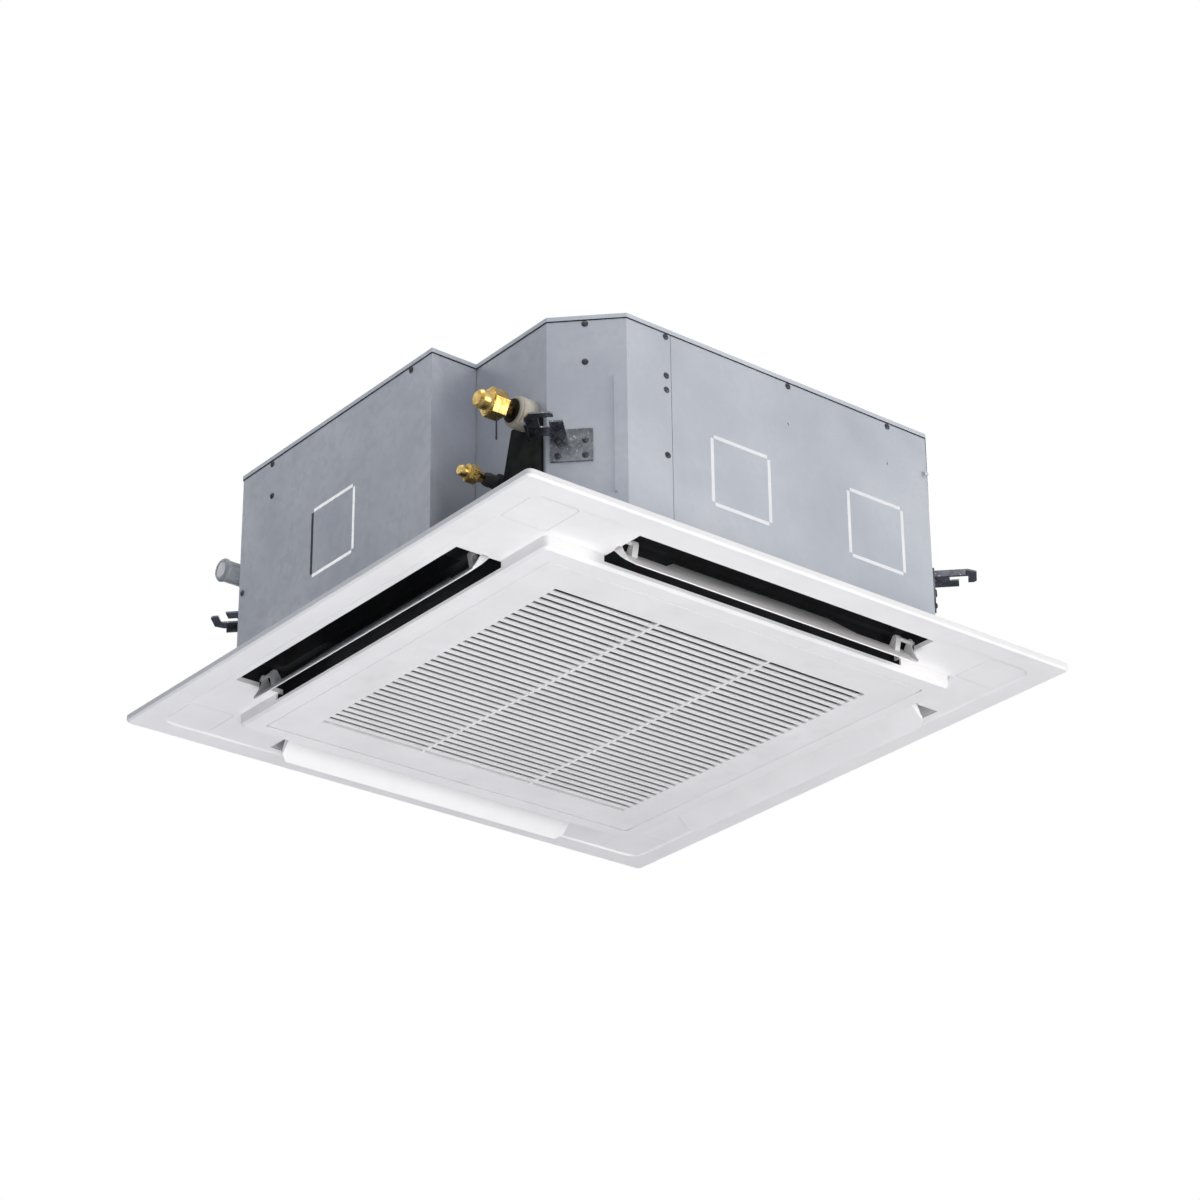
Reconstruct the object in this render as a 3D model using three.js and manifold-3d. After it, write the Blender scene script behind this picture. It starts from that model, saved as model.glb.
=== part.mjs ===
// Four-way ceiling cassette air conditioner: a square panel with four swinging flaps and a hinged
// intake grille, under an eight-sided sheet-metal casing that holds the fan, coil and drain parts.
// Millimetres, +Z up. The origin is the middle of the panel in the plane of the ceiling.
// The front is -Y, and the pipes leave the casing at the -X, -Y corner.

import * as THREE from 'three';
import * as BufferGeometryUtils from 'three/addons/utils/BufferGeometryUtils.js';
import Module from 'manifold-3d';

const wasm = await Module();
wasm.setup();

// ---------------------------------------------------------------- driving dimensions

const GAP = 0.3; // between pieces that touch
const RUNNING_GAP = 1.5; // round pieces that swing or slide in a frame

// Casing
const BODY_HALF = 420; // flat sides, from the middle
const CHAMFER_LEG = 149; // each corner is cut off by this much along both sides
const BODY_BOTTOM = 29; // above the ceiling plane
const BODY_HEIGHT = 292;
const BODY_TOP = BODY_BOTTOM + BODY_HEIGHT;
const SHEET = 1.2; // casing sheet metal
const RECESS_DEPTH = 74; // pipe recess, in from the left side
const RECESS_LENGTH = 230; // pipe recess, back from the front side
const RECESS_X = RECESS_DEPTH - BODY_HALF;
const RECESS_Y = RECESS_LENGTH - BODY_HALF;
const SEAM_FROM_LEFT = 224; // joint in the front side
const SEAM_X = SEAM_FROM_LEFT - BODY_HALF;
const LID_LIP = 6; // lid edge turned down over the sides
const LID_THICKNESS = 1.2;
const LID_EDGE = 0.8;
const KNOCKOUT_WIDTH = 100;
const KNOCKOUT_HEIGHT = 101;
const KNOCKOUT_SLIT = 3.5;
const KNOCKOUT_BRIDGE = 8;
const KNOCKOUT_Z = 134;
const FRONT_KNOCKOUTS_X = [-77, 167];
const LEFT_KNOCKOUT_Y = 38;
const LEFT_KNOCKOUT_RAISE = 4; // above those in the front
const SHEET_HOLE_RADIUS = 2.2;
const SHEET_HOLES_X = [10, 194];
const SHEET_HOLES_Z = 249;

// Panel
const PANEL_OVERLAP = 55; // past the casing on each side
const PANEL_HALF = BODY_HALF + PANEL_OVERLAP;
const PANEL_CORNER = 8;
const RIM_HEIGHT = 10; // the border hangs this far below the ceiling
const RIM_EDGE = 3;
const BORDER_WIDTH = 35;
const FIELD_DROP = 8; // the wide face inside the border
const CENTRE_DROP = 27;
const CENTRE_EDGE = 4;
const PANEL_WALL = 3;
const BORDER_STEP_WIDTH = 3;
const OPENING_WALL_TOP = -13;

// Air outlets, measured from the middle of the panel outwards and along each side
const OUTLET_WIDTH = 79.5;
const OUTLET_PAST_CASING = 6.5;
const OUTLET_FROM_SIDE = 158; // from an outlet's end to the casing's next side
const OUTLET_OUTER = BODY_HALF + OUTLET_PAST_CASING;
const OUTLET_INNER = OUTLET_OUTER - OUTLET_WIDTH;
const OUTLET_HALF_LENGTH = BODY_HALF - OUTLET_FROM_SIDE;
const OUTLET_LIP = 9; // what is left of the step below each outlet

// Lowered square round the grille, and the square hole that the grille closes
const CENTRE_PAST_OUTLET = 10;
const CENTRE_HALF = OUTLET_INNER + CENTRE_PAST_OUTLET;
const OPENING_MARGIN = 17.5;
const OPENING_HALF = OUTLET_INNER - OPENING_MARGIN;

// Flaps
const FLAP_AXIS_IN = 44.5; // from the outlet's outer edge
const FLAP_AXIS_OUT = OUTLET_OUTER - FLAP_AXIS_IN;
const FLAP_AXIS_Z = 6;
const FLAP_REACH = 44; // outwards from the axis, closed
const FLAP_DEPTH = 16; // the blade's face lies this far below the axis, closed
const FLAP_THICKNESS = 2.5;
const FLAP_STRIP_INNER = 3; // the full-length blade ends this far inside the axis
const FLAP_TAB_REACH = 35;
const FLAP_CORNER = 12; // cut off the blade's outer corners
const FLAP_TAB_BASE = 340;
const FLAP_TAB_TIP = 275;
const FLAP_END_CLEARANCE = 4;
const FLAP_OPEN_DEG = 44; // as the flaps stand at rest
const FLAP_PIN_RADIUS = 3;
const FLAP_BRACKET_FROM_END = 26;
const FLAP_BRACKET_WIDTH = 9;
const FLAP_WEB = 2.5; // curved end webs that carry the pins
const FLAP_MOTOR_RADIUS = 9.5;
const FLAP_MOTOR_LENGTH = 15;

// Air guide behind the panel
const GUIDE_WALL = 4;
const GUIDE_INNER_WALL = 6;
const GUIDE_DUCT_INNER = OUTLET_INNER - 5;
const GUIDE_INNER_HALF = GUIDE_DUCT_INNER - GUIDE_INNER_WALL;

// Intake grille
const GRILLE_THICKNESS = 7;
const GRILLE_EDGE = 1;
const GRILLE_BORDER_X = 55.5; // plain border left and right of the slots
const GRILLE_BORDER_Y = 59.5;
const GRILLE_FIELD_X = 2 * (OPENING_HALF - GRILLE_BORDER_X);
const GRILLE_FIELD_Y = 2 * (OPENING_HALF - GRILLE_BORDER_Y);
const GRILLE_SLOT_COUNT = 36;
const GRILLE_SLOT = 8;
const GRILLE_RIB_X = 98;
const GRILLE_RIB_WIDTH = 4.5;
const GRILLE_RIB_INSET = 0.6; // the ribs lie this far behind the slats' faces
const GRILLE_SLAT_HEIGHT = 9.5;
const GRILLE_AXIS_IN = 5.5; // hinge axis, in from the opening's edge
const GRILLE_AXIS_UP = 3.5; // hinge axis, above the grille's face
const HINGE_PIN_RADIUS = 2;
const HINGE_PIN_LENGTH = 14;

// Air filter
const FILTER_INSET = 47.5;
const FILTER_HALF = OPENING_HALF - FILTER_INSET;
const FILTER_HEIGHT = 6;
const FILTER_RIM = 9;
const FILTER_RIB = 2.4;
const FILTER_CELLS = 4;
const FILTER_NET = 0.9;

// Latches
const LATCH_X = OPENING_HALF - 139.5;
const LATCH_WIDTH = 24;
const LATCH_THICKNESS = 2.4;
const LATCH_LENGTH = 64;
const LATCH_TAB_END = OPENING_HALF - RUNNING_GAP - LATCH_LENGTH;

// Corner caps and panel bolts
const CAP_FROM_EDGE = 77;
const CAP_MIDDLE = PANEL_HALF - CAP_FROM_EDGE;
const CAP_HALF = 36;
const CAP_GAP = 0.4;
const PANEL_BOLT_INSET = 20.5;
const PANEL_BOLT_AT = OPENING_HALF - PANEL_BOLT_INSET;
const PANEL_BOLT_RADIUS = 2.5;
const PANEL_BOLT_HEAD = 5;
const PANEL_BOLT_TOP = 42;
const GUSSET_LEG = 62;

// Fan, motor and inlet
const FAN_RADIUS = 235;
const FAN_INLET_RADIUS = 160;
const FAN_BOTTOM = 92;
const FAN_TOP = BODY_TOP - 49;
const FAN_SKIN = 3;
const FAN_BLADES = 7;
const FAN_DOME_RADIUS = 98;
const FAN_DOME_DEPTH = 56;
const FAN_BOSS_RADIUS = 20;
const FAN_BOSS_LENGTH = 22;
const SHAFT_RADIUS = 6;
const MOTOR_RADIUS = 80;
const MOTOR_HEIGHT = 64;
const MOTOR_TOP = BODY_TOP - 23;
const MOTOR_BOTTOM = MOTOR_TOP - MOTOR_HEIGHT;
const MOTOR_PLATE_RADIUS = 108;
const BELL_THROAT = 150;
const BELL_FLANGE = 222;
const BELL_SKIN = 2.5;
const BELL_HOLE = 206;

// Coil and drain pan
const COIL_FROM_CASING = 76;
const COIL_OUTER = BODY_HALF - COIL_FROM_CASING;
const COIL_DEPTH = 40;
const COIL_CORNER = COIL_OUTER - 194;
const COIL_BOTTOM = 56;
const COIL_TOP = BODY_TOP - 17;
const COIL_LEFT_END_Y = RECESS_Y + 55;
const COIL_FRONT_END_X = RECESS_X + 118;
const COIL_PLATE = 1.5;
const COIL_FIN_STEPS = 7;
const PAN_TOP = 80;
const PAN_WALL = 14;
const PAN_PASSAGE_INNER = COIL_OUTER + 10;
const PAN_PASSAGE_OUTER = BODY_HALF - PAN_WALL;
const PAN_PASSAGE_HALF = OUTLET_HALF_LENGTH - 12;
const TROUGH_MARGIN = 5;
const LINER = 12;

// Pipes
const GAS_Y = RECESS_Y - 118;
const GAS_Z = 188;
const GAS_RADIUS = 7.9;
const GAS_NUT_FACE = 36; // across flats
const GAS_NUT_OUT = [31, 86]; // from the recess wall
const GAS_COLLAR_RADIUS = 22;
const GAS_COLLAR_LENGTH = 25;
const LIQUID_Y = RECESS_Y - 53;
const LIQUID_Z = 116;
const LIQUID_RADIUS = 4.8;
const LIQUID_NUT_FACE = 22;
const LIQUID_NUT_OUT = [28, 66];
const HEADER_RADIUS = 11;
const PORT_COVER = 3;
const PORT_COVER_Z = [46, 182];
const PORT_COVER_STEP = 75; // height of its wider part
const PORT_COVER_Y = [RECESS_Y - 148, RECESS_Y - 67];

// Drain parts at the left back corner, placed along and across that corner
const PUMP_FROM_CORNER = 29.6; // from the corner's flat inwards
const PUMP_ALONG = -12;
const PUMP_RADIUS = 26;
const PUMP_TOP = 222;
const FLOAT_ALONG = 30;
const FLOAT_RADIUS = 10;
const FLOAT_HEIGHT = 14;
const FLOAT_TRAVEL = 12;
const FLOAT_STEM = 3.5;
const PORT_RADIUS = 16;
const PORT_Z = 188;
const PORT_PAST_CASING = 4;
const PORT_END_X = -BODY_HALF - PORT_PAST_CASING;

// Hangers
const HANGER_Z = 143;
const HANGER_STEEL = 2.5;
const HANGER_WIDTH = 50;
const HANGER_REACH = 62;
const HANGER_SLOT = 13;
const HANGER_SLOT_FROM = 24;
const HANGER_SLOT_TO = 50;
const HANGER_FLANGE_DOWN = 40;
const HANGER_FLANGE_UP = 7;
const HANGER_EDGE = 7;

// Control box
const BOX_X = OPENING_HALF - 179.5;
const BOX_DEPTH = 92;
const BOX_FROM_OPENING = 3.5;
const BOX_Y = [BOX_FROM_OPENING - OPENING_HALF, BOX_FROM_OPENING + BOX_DEPTH - OPENING_HALF];
const BOX_BOTTOM = -6;
const BOX_TOP = BODY_BOTTOM;
const BOX_WALL = 1.5;

// ---------------------------------------------------------------- materials

const finish = (color, roughness, metalness) => ({ color, roughness, metalness });
const FINISHES = {
  panelWhite: finish(0xeff0f3, 0.45, 0),
  galvanised: finish(0xb9bfc8, 0.45, 0.75),
  darkSteel: finish(0x55585c, 0.5, 0.7),
  blackFoam: finish(0x15161a, 0.95, 0),
  whiteFoam: finish(0xe6e7e4, 0.95, 0),
  fanGrey: finish(0x4a4d52, 0.6, 0),
  brass: finish(0xc59b4a, 0.3, 0.95),
  copper: finish(0xb87455, 0.35, 0.95),
  coilFins: finish(0xc6cbd0, 0.4, 0.8),
  collar: finish(0xcfc8b4, 0.85, 0),
  clearPlastic: finish(0xb9bdc0, 0.35, 0),
  circuit: finish(0x2f6b45, 0.6, 0),
  filterNet: finish(0x33363b, 0.9, 0),
};

// ---------------------------------------------------------------- geometry helpers

const cassette = new THREE.Group();

function addPiece(name, geometry, finishName) {
  const solid = toGeometry(toSolid(geometry));
  const piece = new THREE.Mesh(solid, new THREE.MeshStandardMaterial(FINISHES[finishName]));
  piece.name = name;
  cassette.add(piece);
  return piece;
}

// Merges the corners of a closed mesh, drops slivers and makes it a solid that faces outwards.
function toSolid(geometry) {
  const bare = new THREE.BufferGeometry();
  bare.setAttribute('position', geometry.getAttribute('position').clone());
  if (geometry.index) bare.setIndex(geometry.index.clone());
  const merged = BufferGeometryUtils.mergeVertices(bare, 1e-3);
  const kept = [];
  for (let i = 0; i < merged.index.count; i += 3) {
    const [a, b, c] = [0, 1, 2].map((k) => merged.index.getX(i + k));
    if (a !== b && b !== c && a !== c) kept.push(a, b, c);
  }
  const vertProperties = new Float32Array(merged.getAttribute('position').array);
  const solid = solidOf(vertProperties, kept);
  if (solid.volume() >= 0) return solid;
  for (let i = 0; i < kept.length; i += 3) [kept[i], kept[i + 1]] = [kept[i + 1], kept[i]];
  return solidOf(vertProperties, kept);
}

function solidOf(vertProperties, corners) {
  const mesh = new wasm.Mesh({ numProp: 3, vertProperties, triVerts: new Uint32Array(corners) });
  return new wasm.Manifold(mesh);
}

function toGeometry(solid) {
  const mesh = solid.getMesh();
  const geometry = new THREE.BufferGeometry();
  geometry.setAttribute('position', new THREE.BufferAttribute(new Float32Array(mesh.vertProperties), 3));
  geometry.setIndex(new THREE.BufferAttribute(new Uint32Array(mesh.triVerts), 1));
  geometry.computeVertexNormals();
  return geometry;
}

function join(...geometries) {
  return toGeometry(geometries.map(toSolid).reduce((sum, next) => sum.add(next)));
}

function cut(base, ...tools) {
  return toGeometry(tools.map(toSolid).reduce((rest, tool) => rest.subtract(tool), toSolid(base)));
}

function common(a, b) {
  return toGeometry(toSolid(a).intersect(toSolid(b)));
}

function box([x0, x1], [y0, y1], [z0, z1]) {
  const geometry = new THREE.BoxGeometry(x1 - x0, y1 - y0, z1 - z0);
  return geometry.translate((x0 + x1) / 2, (y0 + y1) / 2, (z0 + z1) / 2);
}

// An outline of [y, z] points given a width along X, about one place on X.
function upright(outline, x, width) {
  return slab(outline, -width / 2, width / 2).rotateX(Math.PI / 2).rotateZ(Math.PI / 2).translate(x, 0, 0);
}

function shapeOf(points) {
  return new THREE.Shape(points.map(([x, y]) => new THREE.Vector2(x, y)));
}

// A flat outline, with holes if given, raised from one height to another.
function slab(outline, z0, z1, holes = []) {
  const shape = outline instanceof THREE.Shape ? outline : shapeOf(outline);
  const drilled = shape.clone();
  drilled.holes = holes.map((hole) => (hole instanceof THREE.Shape ? hole : shapeOf(hole)));
  const options = { depth: z1 - z0, bevelEnabled: false, curveSegments: 4 };
  return new THREE.ExtrudeGeometry(drilled, options).translate(0, 0, z0);
}

function rectangle([x0, x1], [y0, y1]) {
  return [[x0, y0], [x1, y0], [x1, y1], [x0, y1]];
}

function roundedSquare(half, radius, steps = 6) {
  const points = [];
  for (let corner = 0; corner < 4; corner += 1) {
    for (let step = 0; step <= steps; step += 1) {
      const angle = (Math.PI / 2) * (corner + step / steps);
      const middle = (Math.PI / 4) * (2 * corner + 1);
      const inset = (half - radius) * Math.SQRT2;
      points.push([
        inset * Math.cos(middle) + radius * Math.cos(angle),
        inset * Math.sin(middle) + radius * Math.sin(angle),
      ]);
    }
  }
  return points;
}

// A profile of [half width, height, corner radius] points carried round a rounded square.
function squareRing(profile, steps = 3) {
  const rings = profile.map(([half, , radius]) => roundedSquare(half, radius, steps));
  const stations = rings[0].length;
  const positions = [];
  const index = [];
  for (let s = 0; s < stations; s += 1) {
    profile.forEach(([, z], i) => positions.push(rings[i][s][0], rings[i][s][1], z));
  }
  const count = profile.length;
  for (let s = 0; s < stations; s += 1) {
    for (let i = 0; i < count; i += 1) {
      const a = s * count + i;
      const b = s * count + ((i + 1) % count);
      const c = ((s + 1) % stations) * count + i;
      const d = ((s + 1) % stations) * count + ((i + 1) % count);
      index.push(a, b, d, a, d, c);
    }
  }
  const geometry = new THREE.BufferGeometry();
  geometry.setAttribute('position', new THREE.Float32BufferAttribute(positions, 3));
  geometry.setIndex(index);
  return geometry;
}

// A turned piece about +Z, from [radius, height] points.
function turned(profile, segments = 28) {
  const points = profile.map(([r, z]) => new THREE.Vector2(r, z));
  return new THREE.LatheGeometry(points, segments).rotateX(Math.PI / 2);
}

// A solid disc or pin about +Z.
function disc(radius, z0, z1, segments = 16) {
  return turned([[0, z0], [radius, z0], [radius, z1], [0, z1]], segments);
}

// A pipe wall or washer about +Z.
function sleeve(inner, outer, z0, z1, segments = 20) {
  return turned([[inner, z0], [outer, z0], [outer, z1], [inner, z1], [inner, z0]], segments);
}

function alongX(geometry) {
  return geometry.rotateY(Math.PI / 2);
}

// A round bar that follows a list of points with rounded bends.
function bar(points, radius, sides = 12, steps = 24) {
  const ring = [];
  for (let i = 0; i < sides; i += 1) {
    const angle = (2 * Math.PI * i) / sides;
    ring.push([radius * Math.cos(angle), radius * Math.sin(angle)]);
  }
  const path = new THREE.CatmullRomCurve3(points.map((p) => new THREE.Vector3(...p)), false, 'centripetal');
  return new THREE.ExtrudeGeometry(shapeOf(ring), { extrudePath: path, steps, bevelEnabled: false });
}

function hexPrism(acrossFlats, z0, z1) {
  return turned([[0, z0], [acrossFlats / Math.sqrt(3), z0], [acrossFlats / Math.sqrt(3), z1], [0, z1]], 6);
}

// Moves every edge of a closed outline inwards by the same distance.
function inset(points, distance) {
  return points.map((point, i) => {
    const before = points[(i + points.length - 1) % points.length];
    const after = points[(i + 1) % points.length];
    return mitre(before, point, after, distance);
  });
}

function mitre(before, point, after, distance) {
  const into = new THREE.Vector2(point[0] - before[0], point[1] - before[1]).normalize();
  const out = new THREE.Vector2(after[0] - point[0], after[1] - point[1]).normalize();
  const normalIn = new THREE.Vector2(-into.y, into.x);
  const normalOut = new THREE.Vector2(-out.y, out.x);
  const bisector = normalIn.clone().add(normalOut).normalize();
  const reach = distance / bisector.dot(normalIn);
  return [point[0] + bisector.x * reach, point[1] + bisector.y * reach];
}

// A sheet of even thickness that stands on an open line of points, with its inside on the left.
function sheetAlong(points, thickness, z0, z1) {
  const inner = points.map((point, i) => {
    const before = points[i - 1] ?? extend(points[1], points[0]);
    const after = points[i + 1] ?? extend(points[i - 1], points[i]);
    return mitre(before, point, after, thickness);
  });
  return slab([...points, ...inner.reverse()], z0, z1);
}

function extend(from, to) {
  return [2 * to[0] - from[0], 2 * to[1] - from[1]];
}

// The point that lies a little way in from one end of a straight side.
function trimmed(end, next, by) {
  const side = new THREE.Vector2(next[0] - end[0], next[1] - end[1]).normalize();
  return [end[0] + side.x * by, end[1] + side.y * by];
}

// Turns a geometry made for the front side to the right, back or left side.
function turnedTo(geometry, quarterTurns) {
  return geometry.clone().rotateZ((Math.PI / 2) * quarterTurns);
}

// A geometry made with X along a corner and Y out from the middle, set at one corner.
function atCorner(geometry, quarterTurns) {
  return geometry.clone().rotateZ(-Math.PI * 0.75 + (Math.PI / 2) * quarterTurns);
}

// ---------------------------------------------------------------- derived sizes

const SIDE_FLAT = BODY_HALF - CHAMFER_LEG;
const CORNER_SUM = BODY_HALF + SIDE_FLAT;
const CORNER_OUT = CORNER_SUM / Math.SQRT2; // from the middle to a corner's flat
const PUMP_OUT = CORNER_OUT - PUMP_FROM_CORNER;
const SHEET_TOP = BODY_TOP - LID_THICKNESS - GAP;
const SIDES = ['front', 'right', 'back', 'left'];
const CORNERS = ['front_right', 'back_right', 'back_left', 'front_left'];
const BACK_LEFT = CORNERS.indexOf('back_left');

const RECESS_CORNER = [RECESS_X, -(CORNER_SUM + RECESS_X)];
const OUTLINE = [
  [-SIDE_FLAT, -BODY_HALF],
  [SIDE_FLAT, -BODY_HALF],
  [BODY_HALF, -SIDE_FLAT],
  [BODY_HALF, SIDE_FLAT],
  [SIDE_FLAT, BODY_HALF],
  [-SIDE_FLAT, BODY_HALF],
  [-BODY_HALF, SIDE_FLAT],
  [-BODY_HALF, RECESS_Y],
  [RECESS_X, RECESS_Y],
  RECESS_CORNER,
];

const GRILLE_HALF = OPENING_HALF - RUNNING_GAP;
const GRILLE_BOTTOM = -CENTRE_DROP;
const GRILLE_TOP = GRILLE_BOTTOM + GRILLE_THICKNESS;
const SLAT_TOP = GRILLE_BOTTOM + GRILLE_SLAT_HEIGHT;
const HINGE_Y = OPENING_HALF - GRILLE_AXIS_IN;
const HINGE_Z = GRILLE_BOTTOM + GRILLE_AXIS_UP;
const FIELD_TOP = PANEL_WALL - FIELD_DROP;
const GUIDE_TOP = BODY_BOTTOM - GAP;
const DUCT_END = OUTLET_HALF_LENGTH + 1;
const LATCH_BOTTOM = GRILLE_TOP + GAP;
const FILTER_BOTTOM = LATCH_BOTTOM + LATCH_THICKNESS + GAP;

// ---------------------------------------------------------------- panel

function outletTool() {
  const chamfer = 6;
  const half = OUTLET_HALF_LENGTH;
  const outline = [
    [-half, -OUTLET_OUTER],
    [half, -OUTLET_OUTER],
    [half, -OUTLET_INNER - chamfer],
    [half - chamfer, -OUTLET_INNER],
    [chamfer - half, -OUTLET_INNER],
    [-half, -OUTLET_INNER - chamfer],
  ];
  return slab(outline, OUTLET_LIP - CENTRE_DROP, 1);
}

function capTool() {
  const half = CAP_HALF + CAP_GAP;
  const middle = CAP_MIDDLE;
  return slab(roundedSquare(half, 6, 3), -FIELD_DROP - 1, FIELD_TOP + 1).translate(middle, -middle, 0);
}

// Triangles in the corners of the opening, where the panel is bolted to the casing.
function boltGusset() {
  const wall = OPENING_HALF + 1;
  const outline = [[wall, -wall], [wall, GUSSET_LEG - wall], [wall - GUSSET_LEG, -wall]];
  const plate = slab(outline, OPENING_WALL_TOP - PANEL_WALL + 0.5, OPENING_WALL_TOP);
  const hole = disc(PANEL_BOLT_RADIUS + GAP, OPENING_WALL_TOP - 6, OPENING_WALL_TOP + 1, 12);
  return cut(plate, hole.translate(PANEL_BOLT_AT, -PANEL_BOLT_AT, 0));
}

function hingeHole(side) {
  const hole = alongX(disc(HINGE_PIN_RADIUS + GAP, -6, 6, 12));
  return hole.translate(side * OPENING_HALF, HINGE_Y, HINGE_Z);
}

function latchWindow(side) {
  const half = LATCH_WIDTH / 2 + 1;
  const x = side * LATCH_X;
  const y = [-OPENING_HALF - PANEL_WALL - 1, -OPENING_HALF + 1];
  return box([x - half, x + half], y, [LATCH_BOTTOM - 0.6, LATCH_BOTTOM + LATCH_THICKNESS + 0.6]);
}

function panelFrame() {
  const wall = PANEL_WALL;
  const border = PANEL_HALF - BORDER_WIDTH;
  const field = border - BORDER_STEP_WIDTH;
  const lip = OPENING_HALF + wall;
  const ring = squareRing([
    [PANEL_HALF, 0, PANEL_CORNER],
    [PANEL_HALF, RIM_EDGE - RIM_HEIGHT, PANEL_CORNER],
    [PANEL_HALF - RIM_EDGE, -RIM_HEIGHT, PANEL_CORNER - RIM_EDGE],
    [border, -RIM_HEIGHT, 25],
    [field, -FIELD_DROP, 22],
    [CENTRE_HALF, -FIELD_DROP, 8],
    [CENTRE_HALF, CENTRE_EDGE - CENTRE_DROP, 8],
    [CENTRE_HALF - CENTRE_EDGE, -CENTRE_DROP, 5],
    [OPENING_HALF, -CENTRE_DROP, 3],
    [OPENING_HALF, OPENING_WALL_TOP, 3],
    [lip, OPENING_WALL_TOP, 3],
    [lip, wall - CENTRE_DROP, 3],
    [CENTRE_HALF - CENTRE_EDGE, wall - CENTRE_DROP, 4],
    [CENTRE_HALF - wall, CENTRE_EDGE - CENTRE_DROP, 5],
    [CENTRE_HALF - wall, FIELD_TOP, 5],
    [field, FIELD_TOP, 22],
    [border, wall - RIM_HEIGHT, 25],
    [PANEL_HALF - wall, wall - RIM_HEIGHT, 5],
    [PANEL_HALF - wall, 0, 5],
  ]);
  const gussets = CORNERS.map((_, i) => turnedTo(boltGusset(), i));
  const tools = [0, 1, 2, 3].flatMap((i) => [turnedTo(outletTool(), i), turnedTo(capTool(), i)]);
  return cut(join(ring, ...gussets), ...tools, hingeHole(-1), hingeHole(1), latchWindow(-1), latchWindow(1));
}

function cornerCap() {
  const middle = CAP_MIDDLE;
  const plate = slab(roundedSquare(CAP_HALF, 6, 3), -FIELD_DROP, FIELD_TOP).translate(middle, -middle, 0);
  const clip = (x, y) => box([x - 8, x + 8], [y - 1.2, y + 1.2], [FIELD_TOP - 0.5, FIELD_TOP + 9]);
  const inner = CAP_HALF - 3;
  return join(plate, clip(middle, inner - middle), clip(middle, -middle - inner));
}

function panelBolt() {
  const headTop = OPENING_WALL_TOP - PANEL_WALL + 0.5 - GAP;
  const bolt = turned([
    [0, headTop - 3.4],
    [PANEL_BOLT_HEAD, headTop - 2],
    [PANEL_BOLT_HEAD, headTop],
    [PANEL_BOLT_RADIUS, headTop],
    [PANEL_BOLT_RADIUS, PANEL_BOLT_TOP],
    [0, PANEL_BOLT_TOP],
  ], 10);
  return bolt.translate(PANEL_BOLT_AT, -PANEL_BOLT_AT, 0);
}

// ---------------------------------------------------------------- air guide and flaps

// Foam ducts that carry the air from the casing to the four outlets, as one piece.
function airGuide() {
  const endWall = DUCT_END + GUIDE_WALL;
  const outer = OUTLET_OUTER + GUIDE_WALL + 0.5;
  const bottom = FIELD_TOP + GAP;
  const block = box([-endWall, endWall], [-outer, -GUIDE_INNER_HALF], [bottom, GUIDE_TOP]);
  const depth = [-OUTLET_OUTER - 0.5, -GUIDE_DUCT_INNER];
  const duct = box([-DUCT_END, DUCT_END], depth, [bottom - 1, GUIDE_TOP + 1]);
  const pin = alongX(disc(FLAP_PIN_RADIUS + GAP, -endWall - 1, endWall + 1, 12));
  const side = cut(block, duct, pin.translate(0, -FLAP_AXIS_OUT, FLAP_AXIS_Z));
  const ring = squareRing([
    [GUIDE_DUCT_INNER, PANEL_WALL - CENTRE_DROP + GAP, 2],
    [GUIDE_INNER_HALF, PANEL_WALL - CENTRE_DROP + GAP, 2],
    [GUIDE_INNER_HALF, GUIDE_TOP, 2],
    [GUIDE_DUCT_INNER, GUIDE_TOP, 2],
  ], 2);
  // Left of the pipe recess the casing has no duct above the outlet, so the guide is closed there.
  const closed = box(
    [-OUTLET_OUTER - 1, -GUIDE_DUCT_INNER + 1],
    [-DUCT_END - 1, RECESS_Y + LINER],
    [GUIDE_TOP - GUIDE_WALL, GUIDE_TOP],
  );
  return join(ring, ...SIDES.map((_, i) => turnedTo(side, i)), closed);
}

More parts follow.
